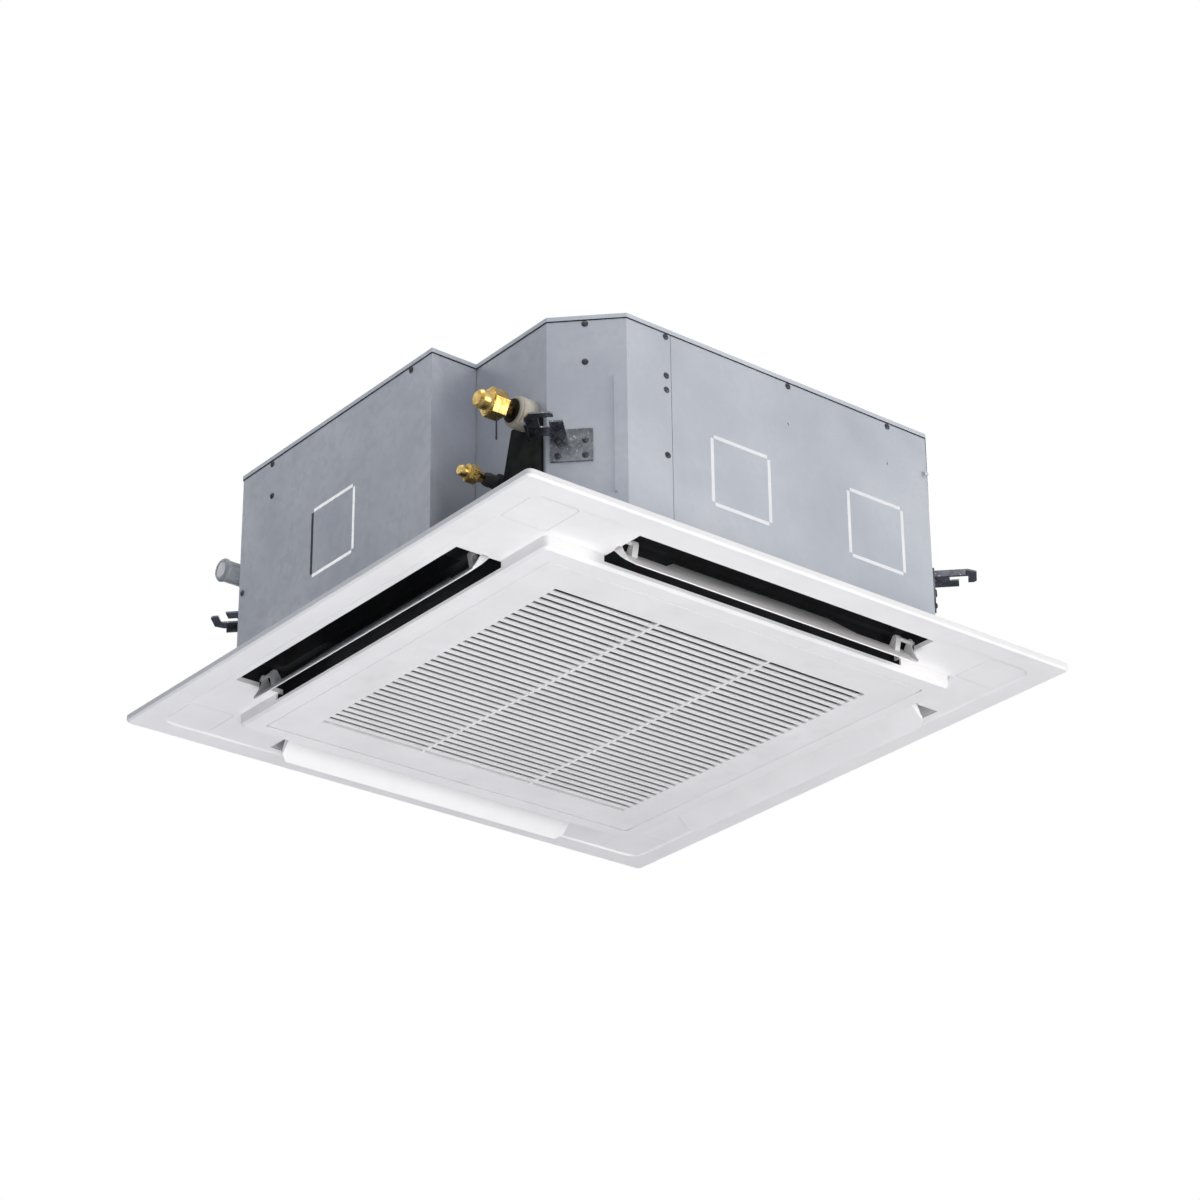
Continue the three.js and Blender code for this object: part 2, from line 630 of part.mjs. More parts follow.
// The blade lies flat under its axis, as it stands when the outlet is closed. X runs along it.
function flap() {
  const half = OUTLET_HALF_LENGTH - FLAP_END_CLEARANCE;
  const low = -FLAP_DEPTH;
  const high = low + FLAP_THICKNESS;
  const section = [
    [-FLAP_REACH, low],
    [-FLAP_REACH * 0.45, low - 0.8],
    [FLAP_STRIP_INNER, low],
    [FLAP_STRIP_INNER, high],
    [-FLAP_REACH * 0.45, high - 0.4],
    [-FLAP_REACH, high - 1],
  ];
  const strip = upright(section, 0, 2 * half);
  const tab = slab([
    [-FLAP_TAB_BASE / 2, FLAP_STRIP_INNER - 1],
    [FLAP_TAB_BASE / 2, FLAP_STRIP_INNER - 1],
    [FLAP_TAB_TIP / 2, FLAP_TAB_REACH],
    [-FLAP_TAB_TIP / 2, FLAP_TAB_REACH],
  ], low, high);
  const pinEnd = DUCT_END + GUIDE_WALL - 0.5;
  const bracketAt = half - FLAP_BRACKET_FROM_END;
  const web = new THREE.Shape();
  web.moveTo(3 - FLAP_REACH, high - 1);
  web.lineTo(FLAP_STRIP_INNER, high - 1);
  web.lineTo(FLAP_PIN_RADIUS + 2, 0);
  web.absarc(0, 0, FLAP_PIN_RADIUS + 2, 0, Math.PI, false);
  web.quadraticCurveTo(-FLAP_PIN_RADIUS - 4, high / 2, 3 - FLAP_REACH, high - 1);
  const bracket = [[-14, high - 0.6], [2, high - 0.6], [4, 0], [0, 4], [-4, 2]];
  const ends = [-1, 1].flatMap((side) => {
    const pin = alongX(disc(FLAP_PIN_RADIUS, bracketAt, pinEnd, 10));
    return [
      side > 0 ? pin : pin.rotateZ(Math.PI),
      upright(web, side * (half - FLAP_WEB / 2), FLAP_WEB),
      upright(bracket, side * bracketAt, FLAP_BRACKET_WIDTH),
    ];
  });
  const corners = [-1, 1].map((side) => {
    const outline = [
      [half + 1, -FLAP_REACH - 1],
      [half + 1, FLAP_CORNER - FLAP_REACH],
      [half - FLAP_CORNER, -FLAP_REACH - 1],
    ];
    const wedge = slab(outline, low - 2, 0);
    return side > 0 ? wedge : wedge.applyMatrix4(new THREE.Matrix4().makeScale(-1, 1, 1));
  });
  return cut(join(strip, tab, ...ends), ...corners);
}

function flapMotor() {
  const start = DUCT_END + GUIDE_WALL + GAP;
  const can = alongX(disc(FLAP_MOTOR_RADIUS, start, start + FLAP_MOTOR_LENGTH, 16));
  const ears = box([start, start + 1.6], [-15, 15], [-4.5, 4.5]);
  return join(can, ears).translate(0, -FLAP_AXIS_OUT, FLAP_AXIS_Z);
}

// ---------------------------------------------------------------- intake grille, filter and latches

const GRILLE_PITCH = (GRILLE_FIELD_Y - GRILLE_SLOT) / (GRILLE_SLOT_COUNT - 1);

// Slats lean away from the front, so that the inside is hidden from below.
function slat(y) {
  const lip = (GRILLE_PITCH - GRILLE_SLOT) / 2;
  const section = [
    [-lip, GRILLE_BOTTOM],
    [lip, GRILLE_BOTTOM],
    [lip + 4.2, SLAT_TOP],
    [lip + 2.4, SLAT_TOP],
    [-lip, GRILLE_BOTTOM + 2.4],
  ];
  return upright(section, 0, GRILLE_FIELD_X + 2).translate(0, y, 0);
}

function intakeGrille() {
  const halfX = GRILLE_FIELD_X / 2;
  const halfY = GRILLE_FIELD_Y / 2;
  const inner = FILTER_HALF + 6;
  const rim = squareRing([
    [GRILLE_HALF, GRILLE_BOTTOM + GRILLE_EDGE, 3],
    [GRILLE_HALF - GRILLE_EDGE, GRILLE_BOTTOM, 2],
    [inner, GRILLE_BOTTOM, 2],
    [inner, GRILLE_TOP, 2],
    [GRILLE_HALF, GRILLE_TOP, 3],
  ], 3);
  const field = slab(
    roundedSquare(inner + 1, 2, 2), GRILLE_BOTTOM, GRILLE_TOP,
    [rectangle([-halfX, halfX], [-halfY, halfY])],
  );
  const slats = [];
  for (let i = 1; i < GRILLE_SLOT_COUNT; i += 1) {
    slats.push(slat(-halfY + GRILLE_SLOT / 2 + (i - 0.5) * GRILLE_PITCH));
  }
  const rib = (x) => box(
    [x - GRILLE_RIB_WIDTH / 2, x + GRILLE_RIB_WIDTH / 2],
    [-halfY - 1, halfY + 1],
    [GRILLE_BOTTOM + GRILLE_RIB_INSET, SLAT_TOP - 1],
  );
  const railY = [4 - GRILLE_HALF, -FILTER_HALF - 5];
  const rail = (x) => box([x - 1, x + 1], railY, [GRILLE_TOP - 0.5, FILTER_BOTTOM + 1]);
  const railOffset = LATCH_WIDTH / 2 + 1 + GAP;
  const rails = [-1, 1].flatMap((side) => [-1, 1].map((edge) => rail(side * LATCH_X + edge * railOffset)));
  const pinHole = (side) => {
    const hole = alongX(disc(HINGE_PIN_RADIUS + GAP, OPENING_HALF - HINGE_PIN_LENGTH + 1, OPENING_HALF, 12));
    return (side > 0 ? hole : hole.rotateZ(Math.PI)).translate(0, HINGE_Y, HINGE_Z);
  };
  const ribs = [rib(-GRILLE_RIB_X), rib(GRILLE_RIB_X)];
  return cut(join(rim, field, ...slats, ...ribs, ...rails), pinHole(-1), pinHole(1));
}

function hingePin(side) {
  const end = OPENING_HALF + PANEL_WALL - GAP;
  const pin = alongX(disc(HINGE_PIN_RADIUS, end - HINGE_PIN_LENGTH, end, 12));
  return (side > 0 ? pin : pin.rotateZ(Math.PI)).translate(0, HINGE_Y, HINGE_Z);
}

function airFilter() {
  const inner = FILTER_HALF - FILTER_RIM;
  const cell = (2 * inner + FILTER_RIB) / FILTER_CELLS;
  const depth = [FILTER_BOTTOM + FILTER_NET, FILTER_BOTTOM + FILTER_HEIGHT + 1];
  const cells = [];
  for (let i = 0; i < FILTER_CELLS; i += 1) {
    for (let j = 0; j < FILTER_CELLS; j += 1) {
      const [x, y] = [-inner + i * cell, -inner + j * cell];
      cells.push(box([x, x + cell - FILTER_RIB], [y, y + cell - FILTER_RIB], depth));
    }
  }
  return cut(slab(roundedSquare(FILTER_HALF, 4, 3), FILTER_BOTTOM, FILTER_BOTTOM + FILTER_HEIGHT), ...cells);
}

// A flat slide on the back of the grille, drawn back. Its tongue enters the window in the opening's wall.
function grilleLatch(side) {
  const half = LATCH_WIDTH / 2;
  const tip = -OPENING_HALF + RUNNING_GAP;
  const outline = [
    [-half, -LATCH_TAB_END - 20],
    [-half * 0.5, -LATCH_TAB_END],
    [half * 0.5, -LATCH_TAB_END],
    [half, -LATCH_TAB_END - 20],
    [half, tip + 2],
    [half - 2, tip],
    [2 - half, tip],
    [-half, tip + 2],
  ];
  const slide = slab(outline.reverse(), LATCH_BOTTOM, LATCH_BOTTOM + LATCH_THICKNESS);
  return slide.translate(side * LATCH_X, 0, 0);
}

// ---------------------------------------------------------------- casing

const SEAM_TRIM = 0.8;

function knockout(along, height) {
  const w = KNOCKOUT_WIDTH / 2;
  const h = KNOCKOUT_HEIGHT / 2;
  const s = KNOCKOUT_SLIT / 2;
  const depth = [-BODY_HALF - 5, -BODY_HALF + 5];
  const width = [along - w + KNOCKOUT_BRIDGE, along + w - KNOCKOUT_BRIDGE];
  const rise = [height - h + KNOCKOUT_BRIDGE, height + h - KNOCKOUT_BRIDGE];
  const across = (z) => box(width, depth, [z - s, z + s]);
  const up = (x) => box([x - s, x + s], depth, rise);
  return [across(height - h), across(height + h), up(along - w), up(along + w)];
}

function frontHole(x, z, radius) {
  return disc(radius, -5, 5, 12).rotateX(Math.PI / 2).translate(x, -BODY_HALF, z);
}

function frontSheet() {
  const points = [[SEAM_X + SEAM_TRIM, -BODY_HALF], OUTLINE[1], trimmed(OUTLINE[2], OUTLINE[1], SEAM_TRIM)];
  const holes = SHEET_HOLES_X.map((x) => frontHole(x, SHEET_HOLES_Z, SHEET_HOLE_RADIUS));
  const slits = FRONT_KNOCKOUTS_X.flatMap((x) => knockout(x, KNOCKOUT_Z));
  return cut(sheetAlong(points, SHEET, BODY_BOTTOM, SHEET_TOP), ...holes, ...slits);
}

// A sheet with one bend, along two sides of the outline, that starts at one of its corners.
function bentSheet(from) {
  const [start, bend, end] = OUTLINE.slice(from, from + 3);
  return [trimmed(start, bend, SEAM_TRIM), bend, trimmed(end, bend, SEAM_TRIM)];
}

function rightSheet() {
  return sheetAlong(bentSheet(2), SHEET, BODY_BOTTOM, SHEET_TOP);
}

function backSheet() {
  const passage = alongX(disc(PORT_RADIUS + 1, -BODY_HALF - 20, -BODY_HALF + 80, 20));
  const sheet = sheetAlong(bentSheet(4), SHEET, BODY_BOTTOM, SHEET_TOP);
  return cut(sheet, passage.translate(0, pumpPlace().y, PORT_Z));
}

function leftSheet() {
  // The left side is the front side turned three quarters, so a place along it has its sign changed.
  const slits = knockout(-LEFT_KNOCKOUT_Y, KNOCKOUT_Z + LEFT_KNOCKOUT_RAISE).map((slit) => turnedTo(slit, 3));
  return cut(sheetAlong(bentSheet(6), SHEET, BODY_BOTTOM, SHEET_TOP), ...slits);
}

function pipeCornerSheet() {
  const start = trimmed(OUTLINE[8], OUTLINE[9], SEAM_TRIM + SHEET);
  const points = [start, OUTLINE[9], OUTLINE[0], [SEAM_X, -BODY_HALF]];
  return cut(sheetAlong(points, SHEET, BODY_BOTTOM, SHEET_TOP), ...pipeHoles());
}

function pipeHoles() {
  const hole = (y, z, radius) => alongX(disc(radius, -40, 40, 16)).translate(RECESS_X, y, z);
  return [hole(GAS_Y, GAS_Z, GAS_RADIUS + 3), hole(LIQUID_Y, LIQUID_Z, LIQUID_RADIUS + 3)];
}

function topPlate() {
  const outer = inset(OUTLINE, -GAP - LID_EDGE);
  const plate = slab(outer, BODY_TOP - LID_THICKNESS, BODY_TOP);
  const lip = slab(outer, BODY_TOP - LID_LIP, BODY_TOP - 0.5, [inset(OUTLINE, -GAP)]);
  const bead = (inner, outerRadius) => turned([
    [inner, BODY_TOP - 0.5], [outerRadius, BODY_TOP - 0.5], [outerRadius - 2, BODY_TOP + 1.5],
    [inner + 2, BODY_TOP + 1.5], [inner, BODY_TOP - 0.5],
  ], 24);
  return join(plate, lip, bead(118, 128), bead(228, 238));
}

function linerAndPumpRoom() {
  const outline = inset(OUTLINE, SHEET + GAP);
  const liner = slab(outline, PAN_TOP + GAP, SHEET_TOP, [inset(OUTLINE, SHEET + GAP + LINER)]);
  const depth = [CORNER_OUT - 80, CORNER_OUT + 5];
  const width = [PUMP_ALONG - PUMP_RADIUS - 3, FLOAT_ALONG + 18];
  const pumpRoom = atCorner(box(width, depth, [PAN_TOP - 1, SHEET_TOP + 1]), BACK_LEFT);
  const passage = alongX(disc(PORT_RADIUS + 1, -BODY_HALF, -BODY_HALF + 100, 20));
  return cut(liner, pumpRoom, passage.translate(0, pumpPlace().y, PORT_Z), ...pipeHoles());
}

// ---------------------------------------------------------------- drain pan and drain parts

// The place of a piece at the back left corner, out from the middle and along the corner.
function backLeft(out, along) {
  const d = Math.SQRT1_2;
  return { x: -d * out + d * along, y: d * out + d * along };
}

function pumpPlace() {
  return backLeft(PUMP_OUT, PUMP_ALONG);
}

function sumpTool() {
  const width = [PUMP_ALONG - 16, FLOAT_ALONG + 14];
  const depth = [CORNER_OUT - 75, CORNER_OUT - 6];
  return atCorner(box(width, depth, [COIL_BOTTOM - GAP, PAN_TOP + 1]), BACK_LEFT);
}

function drainPan() {
  const outline = inset(OUTLINE, SHEET + GAP);
  const base = slab(outline, BODY_BOTTOM + GAP, PAN_TOP);
  const trough = slab(
    roundedSquare(COIL_OUTER + TROUGH_MARGIN, COIL_CORNER + TROUGH_MARGIN, 8), COIL_BOTTOM - GAP, PAN_TOP + 1,
    [roundedSquare(COIL_OUTER - COIL_DEPTH - TROUGH_MARGIN, COIL_CORNER - COIL_DEPTH - TROUGH_MARGIN, 8)],
  );
  const inside = slab(inset(OUTLINE, SHEET + GAP + 8), BODY_BOTTOM, PAN_TOP + 2);
  const legEnd = box(
    [COIL_FRONT_END_X - 22, COIL_FRONT_END_X + 40],
    [-COIL_OUTER - TROUGH_MARGIN, COIL_DEPTH + TROUGH_MARGIN - COIL_OUTER],
    [COIL_BOTTOM - GAP, PAN_TOP + 1],
  );
  const across = [-PAN_PASSAGE_OUTER, -PAN_PASSAGE_INNER];
  const through = [BODY_BOTTOM - 1, PAN_TOP + 1];
  const passage = box([-PAN_PASSAGE_HALF, PAN_PASSAGE_HALF], across, through);
  const leftPassage = box(across, [RECESS_Y + LINER, PAN_PASSAGE_HALF], through);
  const boltHoles = [0, 1, 2, 3].map((i) => {
    const hole = disc(PANEL_BOLT_RADIUS + GAP, BODY_BOTTOM - 1, PANEL_BOLT_TOP + 2, 12);
    return turnedTo(hole.translate(PANEL_BOLT_AT, -PANEL_BOLT_AT, 0), i);
  });
  return cut(
    base, common(trough, inside), legEnd, sumpTool(), disc(BELL_HOLE, BODY_BOTTOM - 1, PAN_TOP + 1, 32),
    passage, turnedTo(passage, 1), turnedTo(passage, 2), leftPassage, ...boltHoles,
  );
}

function drainPump() {
  const place = pumpPlace();
  const body = turned([
    [0, COIL_BOTTOM + 2], [7, COIL_BOTTOM + 2], [9, COIL_BOTTOM + 14], [9, PAN_TOP + 4],
    [PUMP_RADIUS, PAN_TOP + 6], [PUMP_RADIUS, PAN_TOP + 34], [PUMP_RADIUS - 5, PAN_TOP + 38],
    [PUMP_RADIUS - 5, PUMP_TOP - 4], [PUMP_RADIUS - 8, PUMP_TOP], [0, PUMP_TOP],
  ], 18);
  const inner = PUMP_RADIUS - 7;
  const outlet = alongX(disc(PORT_RADIUS - 4, -PUMP_RADIUS - 6, -inner, 16)).translate(0, 0, PORT_Z);
  return join(body, outlet).translate(place.x, place.y, 0);
}

// Clear plastic socket that the drain hose pushes onto.
function drainPort() {
  const place = pumpPlace();
  const start = place.x - PUMP_RADIUS - 6 - GAP;
  const length = start - PORT_END_X;
  const bore = PORT_RADIUS - 4;
  const tube = turned([
    [bore, 0], [PORT_RADIUS, 0], [PORT_RADIUS, length - 8], [PORT_RADIUS + 1.5, length - 6],
    [PORT_RADIUS + 1.5, length - 3], [PORT_RADIUS - 1, length], [bore, length], [bore, 0],
  ], 20);
  return tube.rotateY(-Math.PI / 2).translate(start, place.y, PORT_Z);
}

function floatSwitch() {
  const place = backLeft(PUMP_OUT, FLOAT_ALONG);
  const stemBottom = COIL_BOTTOM + 1;
  const stemTop = stemBottom + FLOAT_HEIGHT + FLOAT_TRAVEL + 30;
  const stem = disc(FLOAT_STEM, stemBottom, stemTop, 12);
  const foot = disc(FLOAT_STEM + 3, stemBottom, stemBottom + 2, 12);
  const reach = PUMP_ALONG - FLOAT_ALONG + PUMP_RADIUS + GAP;
  const arm = box([reach, 6], [-5, 5], [PAN_TOP + 12, PAN_TOP + 16]).rotateZ(Math.PI / 4);
  const head = disc(9, PAN_TOP + 11, PAN_TOP + 18, 16);
  return join(stem, foot, head, arm).translate(place.x, place.y, 0);
}

function floatRing() {
  const place = backLeft(PUMP_OUT, FLOAT_ALONG);
  const low = COIL_BOTTOM + 3 + GAP;
  return sleeve(FLOAT_STEM + 0.8, FLOAT_RADIUS, low, low + FLOAT_HEIGHT, 16).translate(place.x, place.y, 0);
}

// ---------------------------------------------------------------- fan

function bellMouth() {
  const low = BODY_BOTTOM - BELL_SKIN;
  const high = FAN_BOTTOM + 6;
  const wide = BELL_FLANGE - 18 - BELL_THROAT;
  const tall = high - 22 - low;
  const steps = 4;
  // A quarter of an ellipse from the flange up to the throat, moved out and up by the skin for the back.
  const quarter = (skin) => Array.from({ length: steps + 1 }, (_, i) => {
    const angle = (Math.PI / 2) * (i / steps);
    return [
      BELL_THROAT + skin + (wide - skin) * (1 - Math.sin(angle)),
      low + skin + (tall - skin) * (1 - Math.cos(angle)),
    ];
  });
  const curve = quarter(0);
  const back = quarter(BELL_SKIN);
  const profile = [
    [BELL_FLANGE, low], ...curve, [BELL_THROAT, high], [BELL_THROAT + BELL_SKIN, high], ...back.reverse(),
    [BELL_FLANGE, low + BELL_SKIN], [BELL_FLANGE, low],
  ];
  return turned(profile, 32);
}

function fanHub() {
  const plateLow = FAN_TOP - FAN_SKIN;
  const domeLow = FAN_TOP - FAN_DOME_DEPTH;
  const bossLow = domeLow - FAN_BOSS_LENGTH / 2;
  const bore = SHAFT_RADIUS + GAP;
  return turned([
    [bore, bossLow], [FAN_BOSS_RADIUS, bossLow], [FAN_BOSS_RADIUS, domeLow], [FAN_DOME_RADIUS - 22, domeLow],
    [FAN_DOME_RADIUS, domeLow + 22], [FAN_DOME_RADIUS + 6, plateLow - 8], [FAN_DOME_RADIUS + 16, plateLow],
    [FAN_RADIUS, plateLow], [FAN_RADIUS, FAN_TOP], [FAN_DOME_RADIUS + 14, FAN_TOP],
    [FAN_DOME_RADIUS + 3, plateLow - 6], [FAN_DOME_RADIUS - 3, domeLow + 24],
    [FAN_DOME_RADIUS - 24, domeLow + FAN_SKIN], [FAN_BOSS_RADIUS, domeLow + FAN_SKIN],
    [FAN_BOSS_RADIUS, bossLow + FAN_BOSS_LENGTH], [bore, bossLow + FAN_BOSS_LENGTH], [bore, bossLow],
  ]);
}

function fanShroud() {
  const rise = 34;
  return turned([
    [FAN_INLET_RADIUS, FAN_BOTTOM], [FAN_INLET_RADIUS + FAN_SKIN, FAN_BOTTOM],
    [FAN_INLET_RADIUS + 14, FAN_BOTTOM + 16], [FAN_INLET_RADIUS + 40, FAN_BOTTOM + 27],
    [FAN_RADIUS, FAN_BOTTOM + rise], [FAN_RADIUS, FAN_BOTTOM + rise + FAN_SKIN],
    [FAN_INLET_RADIUS + 38, FAN_BOTTOM + 30], [FAN_INLET_RADIUS + 10, FAN_BOTTOM + 18],
    [FAN_INLET_RADIUS, FAN_BOTTOM + 4], [FAN_INLET_RADIUS, FAN_BOTTOM],
  ]);
}

// Each blade sweeps back from the direction of turning, as an arc between the hub and the shroud.
function fanBlades() {
  const inner = FAN_INLET_RADIUS - 2;
  const outer = FAN_RADIUS - 3;
  const steps = 5;
  const line = (offset) => {
    const points = [];
    for (let i = 0; i <= steps; i += 1) {
      const radius = inner + ((outer - inner) * i) / steps;
      const sweep = (0.62 * i) / steps - 0.1 * Math.sin((Math.PI * i) / steps);
      const tangent = offset / radius;
      points.push([radius * Math.cos(sweep + tangent), radius * Math.sin(sweep + tangent)]);
    }
    return points;
  };
  const outline = [...line(0), ...line(FAN_SKIN).reverse()];
  const blade = slab(outline, FAN_BOTTOM + 5, FAN_TOP - 1);
  const underShroud = turned([
    [FAN_INLET_RADIUS + 1, FAN_BOTTOM - 1], [FAN_RADIUS + 5, FAN_BOTTOM - 1],
    [FAN_RADIUS + 5, FAN_BOTTOM + 35.5], [FAN_RADIUS, FAN_BOTTOM + 35.5],
    [FAN_INLET_RADIUS + 39, FAN_BOTTOM + 28.5], [FAN_INLET_RADIUS + 12, FAN_BOTTOM + 17],
    [FAN_INLET_RADIUS + 1, FAN_BOTTOM - 1],
  ]);
  const inletRim = FAN_INLET_RADIUS + 1.5;
  const overInlet = sleeve(FAN_INLET_RADIUS - 10, inletRim, FAN_BOTTOM - 1, FAN_BOTTOM + 12, 28);
  const trimmedBlade = cut(blade, underShroud, overInlet);
  const blades = [];
  for (let i = 0; i < FAN_BLADES; i += 1) {
    blades.push(trimmedBlade.clone().rotateZ((2 * Math.PI * i) / FAN_BLADES));
  }
  return blades;
}

function turboFan() {
  return join(fanHub(), fanShroud(), ...fanBlades());
}

const FAN_BOSS_LOW = FAN_TOP - FAN_DOME_DEPTH - FAN_BOSS_LENGTH / 2;

function fanNut() {
  const top = FAN_BOSS_LOW - GAP;
  const bore = disc(SHAFT_RADIUS + GAP, top - 20, top + 1, 16);
  return cut(join(hexPrism(19, top - 9, top - 1.5), disc(13, top - 2, top, 20)), bore);
}

function motorShaft() {
  return turned([
    [0, FAN_BOSS_LOW - 14], [SHAFT_RADIUS - 1, FAN_BOSS_LOW - 14], [SHAFT_RADIUS, FAN_BOSS_LOW - 13],
    [SHAFT_RADIUS, MOTOR_BOTTOM + 20], [0, MOTOR_BOTTOM + 20],
  ], 16);
}

function fanMotor() {
  const bore = SHAFT_RADIUS + GAP;
  return turned([
    [0, MOTOR_BOTTOM + 20 + GAP], [bore, MOTOR_BOTTOM + 20 + GAP], [bore, MOTOR_BOTTOM], [18, MOTOR_BOTTOM],
    [18, MOTOR_BOTTOM + 5], [MOTOR_RADIUS - 10, MOTOR_BOTTOM + 6], [MOTOR_RADIUS, MOTOR_BOTTOM + 16],
    [MOTOR_RADIUS, MOTOR_TOP - 12], [MOTOR_RADIUS + 12, MOTOR_TOP - 8], [MOTOR_RADIUS + 12, MOTOR_TOP],
    [0, MOTOR_TOP],
  ], 24);
}

// Stamped plate with three rubber-ended feet between the motor and the lid.
function motorPlate() {
  const low = MOTOR_TOP + GAP;
  const top = BODY_TOP - LID_THICKNESS - GAP;
  const plate = sleeve(30, MOTOR_PLATE_RADIUS, low, low + 3, 24);
  const feet = [0, 1, 2].map((i) => {
    const foot = turned([[0, low + 1], [13, low + 1], [10, low + 10], [12, top], [0, top]], 10);
    return foot.translate(MOTOR_PLATE_RADIUS - 14, 0, 0).rotateZ((2 * Math.PI * i) / 3);
  });
  return join(plate, ...feet);
}

// ---------------------------------------------------------------- coil and pipes

// The line that one face of the coil follows, from the left leg round the back to the front leg.
function coilLine(half) {
  const radius = COIL_CORNER - (COIL_OUTER - half);
  const middle = half - radius;
  const points = [[-half, COIL_LEFT_END_Y]];
  const corners = [[-middle, middle, Math.PI], [middle, middle, Math.PI / 2], [middle, -middle, 0]];
  for (const [x, y, from] of corners) {
    for (let i = 0; i <= COIL_FIN_STEPS; i += 1) {
      const angle = from - ((Math.PI / 2) * i) / COIL_FIN_STEPS;
      points.push([x + radius * Math.cos(angle), y + radius * Math.sin(angle)]);
    }
  }
  points.push([COIL_FRONT_END_X, -half]);
  return points;
}

function heatExchanger() {
  const outline = [...coilLine(COIL_OUTER), ...coilLine(COIL_OUTER - COIL_DEPTH).reverse()];
  return slab(outline, COIL_BOTTOM, COIL_TOP);
}

// End sheet with the return bends of the coil's tubes standing out of it, across the Y axis.
function coilEnd() {
  const half = COIL_DEPTH / 2 + 2;
  const plate = box([-half, half], [-COIL_PLATE, 0], [COIL_BOTTOM, COIL_TOP + 4]);
  const bends = [];
  const rows = 4;
  for (let i = 0; i < rows; i += 1) {
    const z = COIL_BOTTOM + 34 + (i * (COIL_TOP - COIL_BOTTOM - 60)) / (rows - 1);
    const root = 0.2 - COIL_PLATE;
    bends.push(bar([[-9, root, z], [-9, -9, z], [0, -13, z], [9, -9, z], [9, root, z]], 3.6, 6, 6));
  }
  return join(plate, ...bends);
}

function leftCoilEnd() {
  return coilEnd().translate(-COIL_OUTER + COIL_DEPTH / 2, COIL_LEFT_END_Y - GAP, 0);
}

function frontCoilEnd() {
  return coilEnd().rotateZ(-Math.PI / 2).translate(COIL_FRONT_END_X - GAP, -COIL_OUTER + COIL_DEPTH / 2, 0);
}

const HEADER_X = COIL_FRONT_END_X - 34;

function gasHeader() {
  const low = COIL_BOTTOM + 40;
  const high = COIL_TOP - 24;
  const tube = turned([
    [0, low], [HEADER_RADIUS - 4, low], [HEADER_RADIUS, low + 5], [HEADER_RADIUS, high - 5],
    [HEADER_RADIUS - 4, high], [0, high],
  ], 16);
  return tube.translate(HEADER_X, GAS_Y, 0);
}

function gasPipe() {
  const start = HEADER_X - HEADER_RADIUS - GAP;
  const end = RECESS_X - GAS_NUT_OUT[0] - 18;
  return alongX(disc(GAS_RADIUS, end, start, 16)).translate(0, GAS_Y, GAS_Z);
}

function liquidPipe() {
  const end = RECESS_X - LIQUID_NUT_OUT[0] - 14;
  const inside = RECESS_X + 23;
  const points = [
    [end, LIQUID_Y, LIQUID_Z],
    [RECESS_X + 2, LIQUID_Y, LIQUID_Z],
    [inside - 8, LIQUID_Y + 2, LIQUID_Z],
    [inside - 1, LIQUID_Y + 10, LIQUID_Z],
    [inside, LIQUID_Y + 22, LIQUID_Z],
    [inside, COIL_LEFT_END_Y - COIL_PLATE - 2 * GAP, LIQUID_Z],
  ];
  return bar(points, LIQUID_RADIUS, 8, 18);
}

// A flare nut with its shipping cap: hexagon, cone and round end, bored for the pipe.
function flareNut(acrossFlats, near, far, pipeRadius, y, z) {
  const length = far - near;
  const round = acrossFlats / 2;
  const skirt = turned([
    [0, 0], [pipeRadius + 2, 0], [round * 0.8, length * 0.2],
    [round * 0.97, length * 0.3], [round * 0.97, length * 0.7], [round * 0.72, length * 0.74],
    [round * 0.72, length * 0.92], [round * 0.55, length], [0, length],
  ], 16);
  const hex = hexPrism(acrossFlats, length * 0.28, length * 0.68);
  const bore = disc(pipeRadius + GAP, -1, 18 + GAP, 12);
  const nut = cut(join(skirt, hex), bore);
  return nut.rotateY(-Math.PI / 2).translate(RECESS_X - near, y, z);
}

function gasNut() {
  return flareNut(GAS_NUT_FACE, ...GAS_NUT_OUT, GAS_RADIUS, GAS_Y, GAS_Z);
}

function liquidNut() {
  return flareNut(LIQUID_NUT_FACE, ...LIQUID_NUT_OUT, LIQUID_RADIUS, LIQUID_Y, LIQUID_Z);
}

function gasCollar() {
  const inner = GAS_RADIUS + GAP;
  const tube = turned([
    [inner, 0], [GAS_COLLAR_RADIUS - 1, 0], [GAS_COLLAR_RADIUS, 2],
    [GAS_COLLAR_RADIUS, GAS_COLLAR_LENGTH - 2], [GAS_COLLAR_RADIUS - 2, GAS_COLLAR_LENGTH],
    [inner, GAS_COLLAR_LENGTH], [inner, 0],
  ], 20);
  return tube.rotateY(-Math.PI / 2).translate(RECESS_X - GAP, GAS_Y, GAS_Z);
}

function portCover() {
  const [low, high] = PORT_COVER_Z;
  const [near, far] = PORT_COVER_Y;
  const outline = [[near, low], [far, low], [far, low + PORT_COVER_STEP], [far - 16, high], [near, high]];
  const plate = upright(outline, RECESS_X - GAP - PORT_COVER / 2, PORT_COVER);
  const notch = alongX(disc(GAS_COLLAR_RADIUS + GAP, -10, 10, 20)).translate(RECESS_X, GAS_Y, GAS_Z);
  return cut(plate, notch);
}

// ---------------------------------------------------------------- hangers and control box

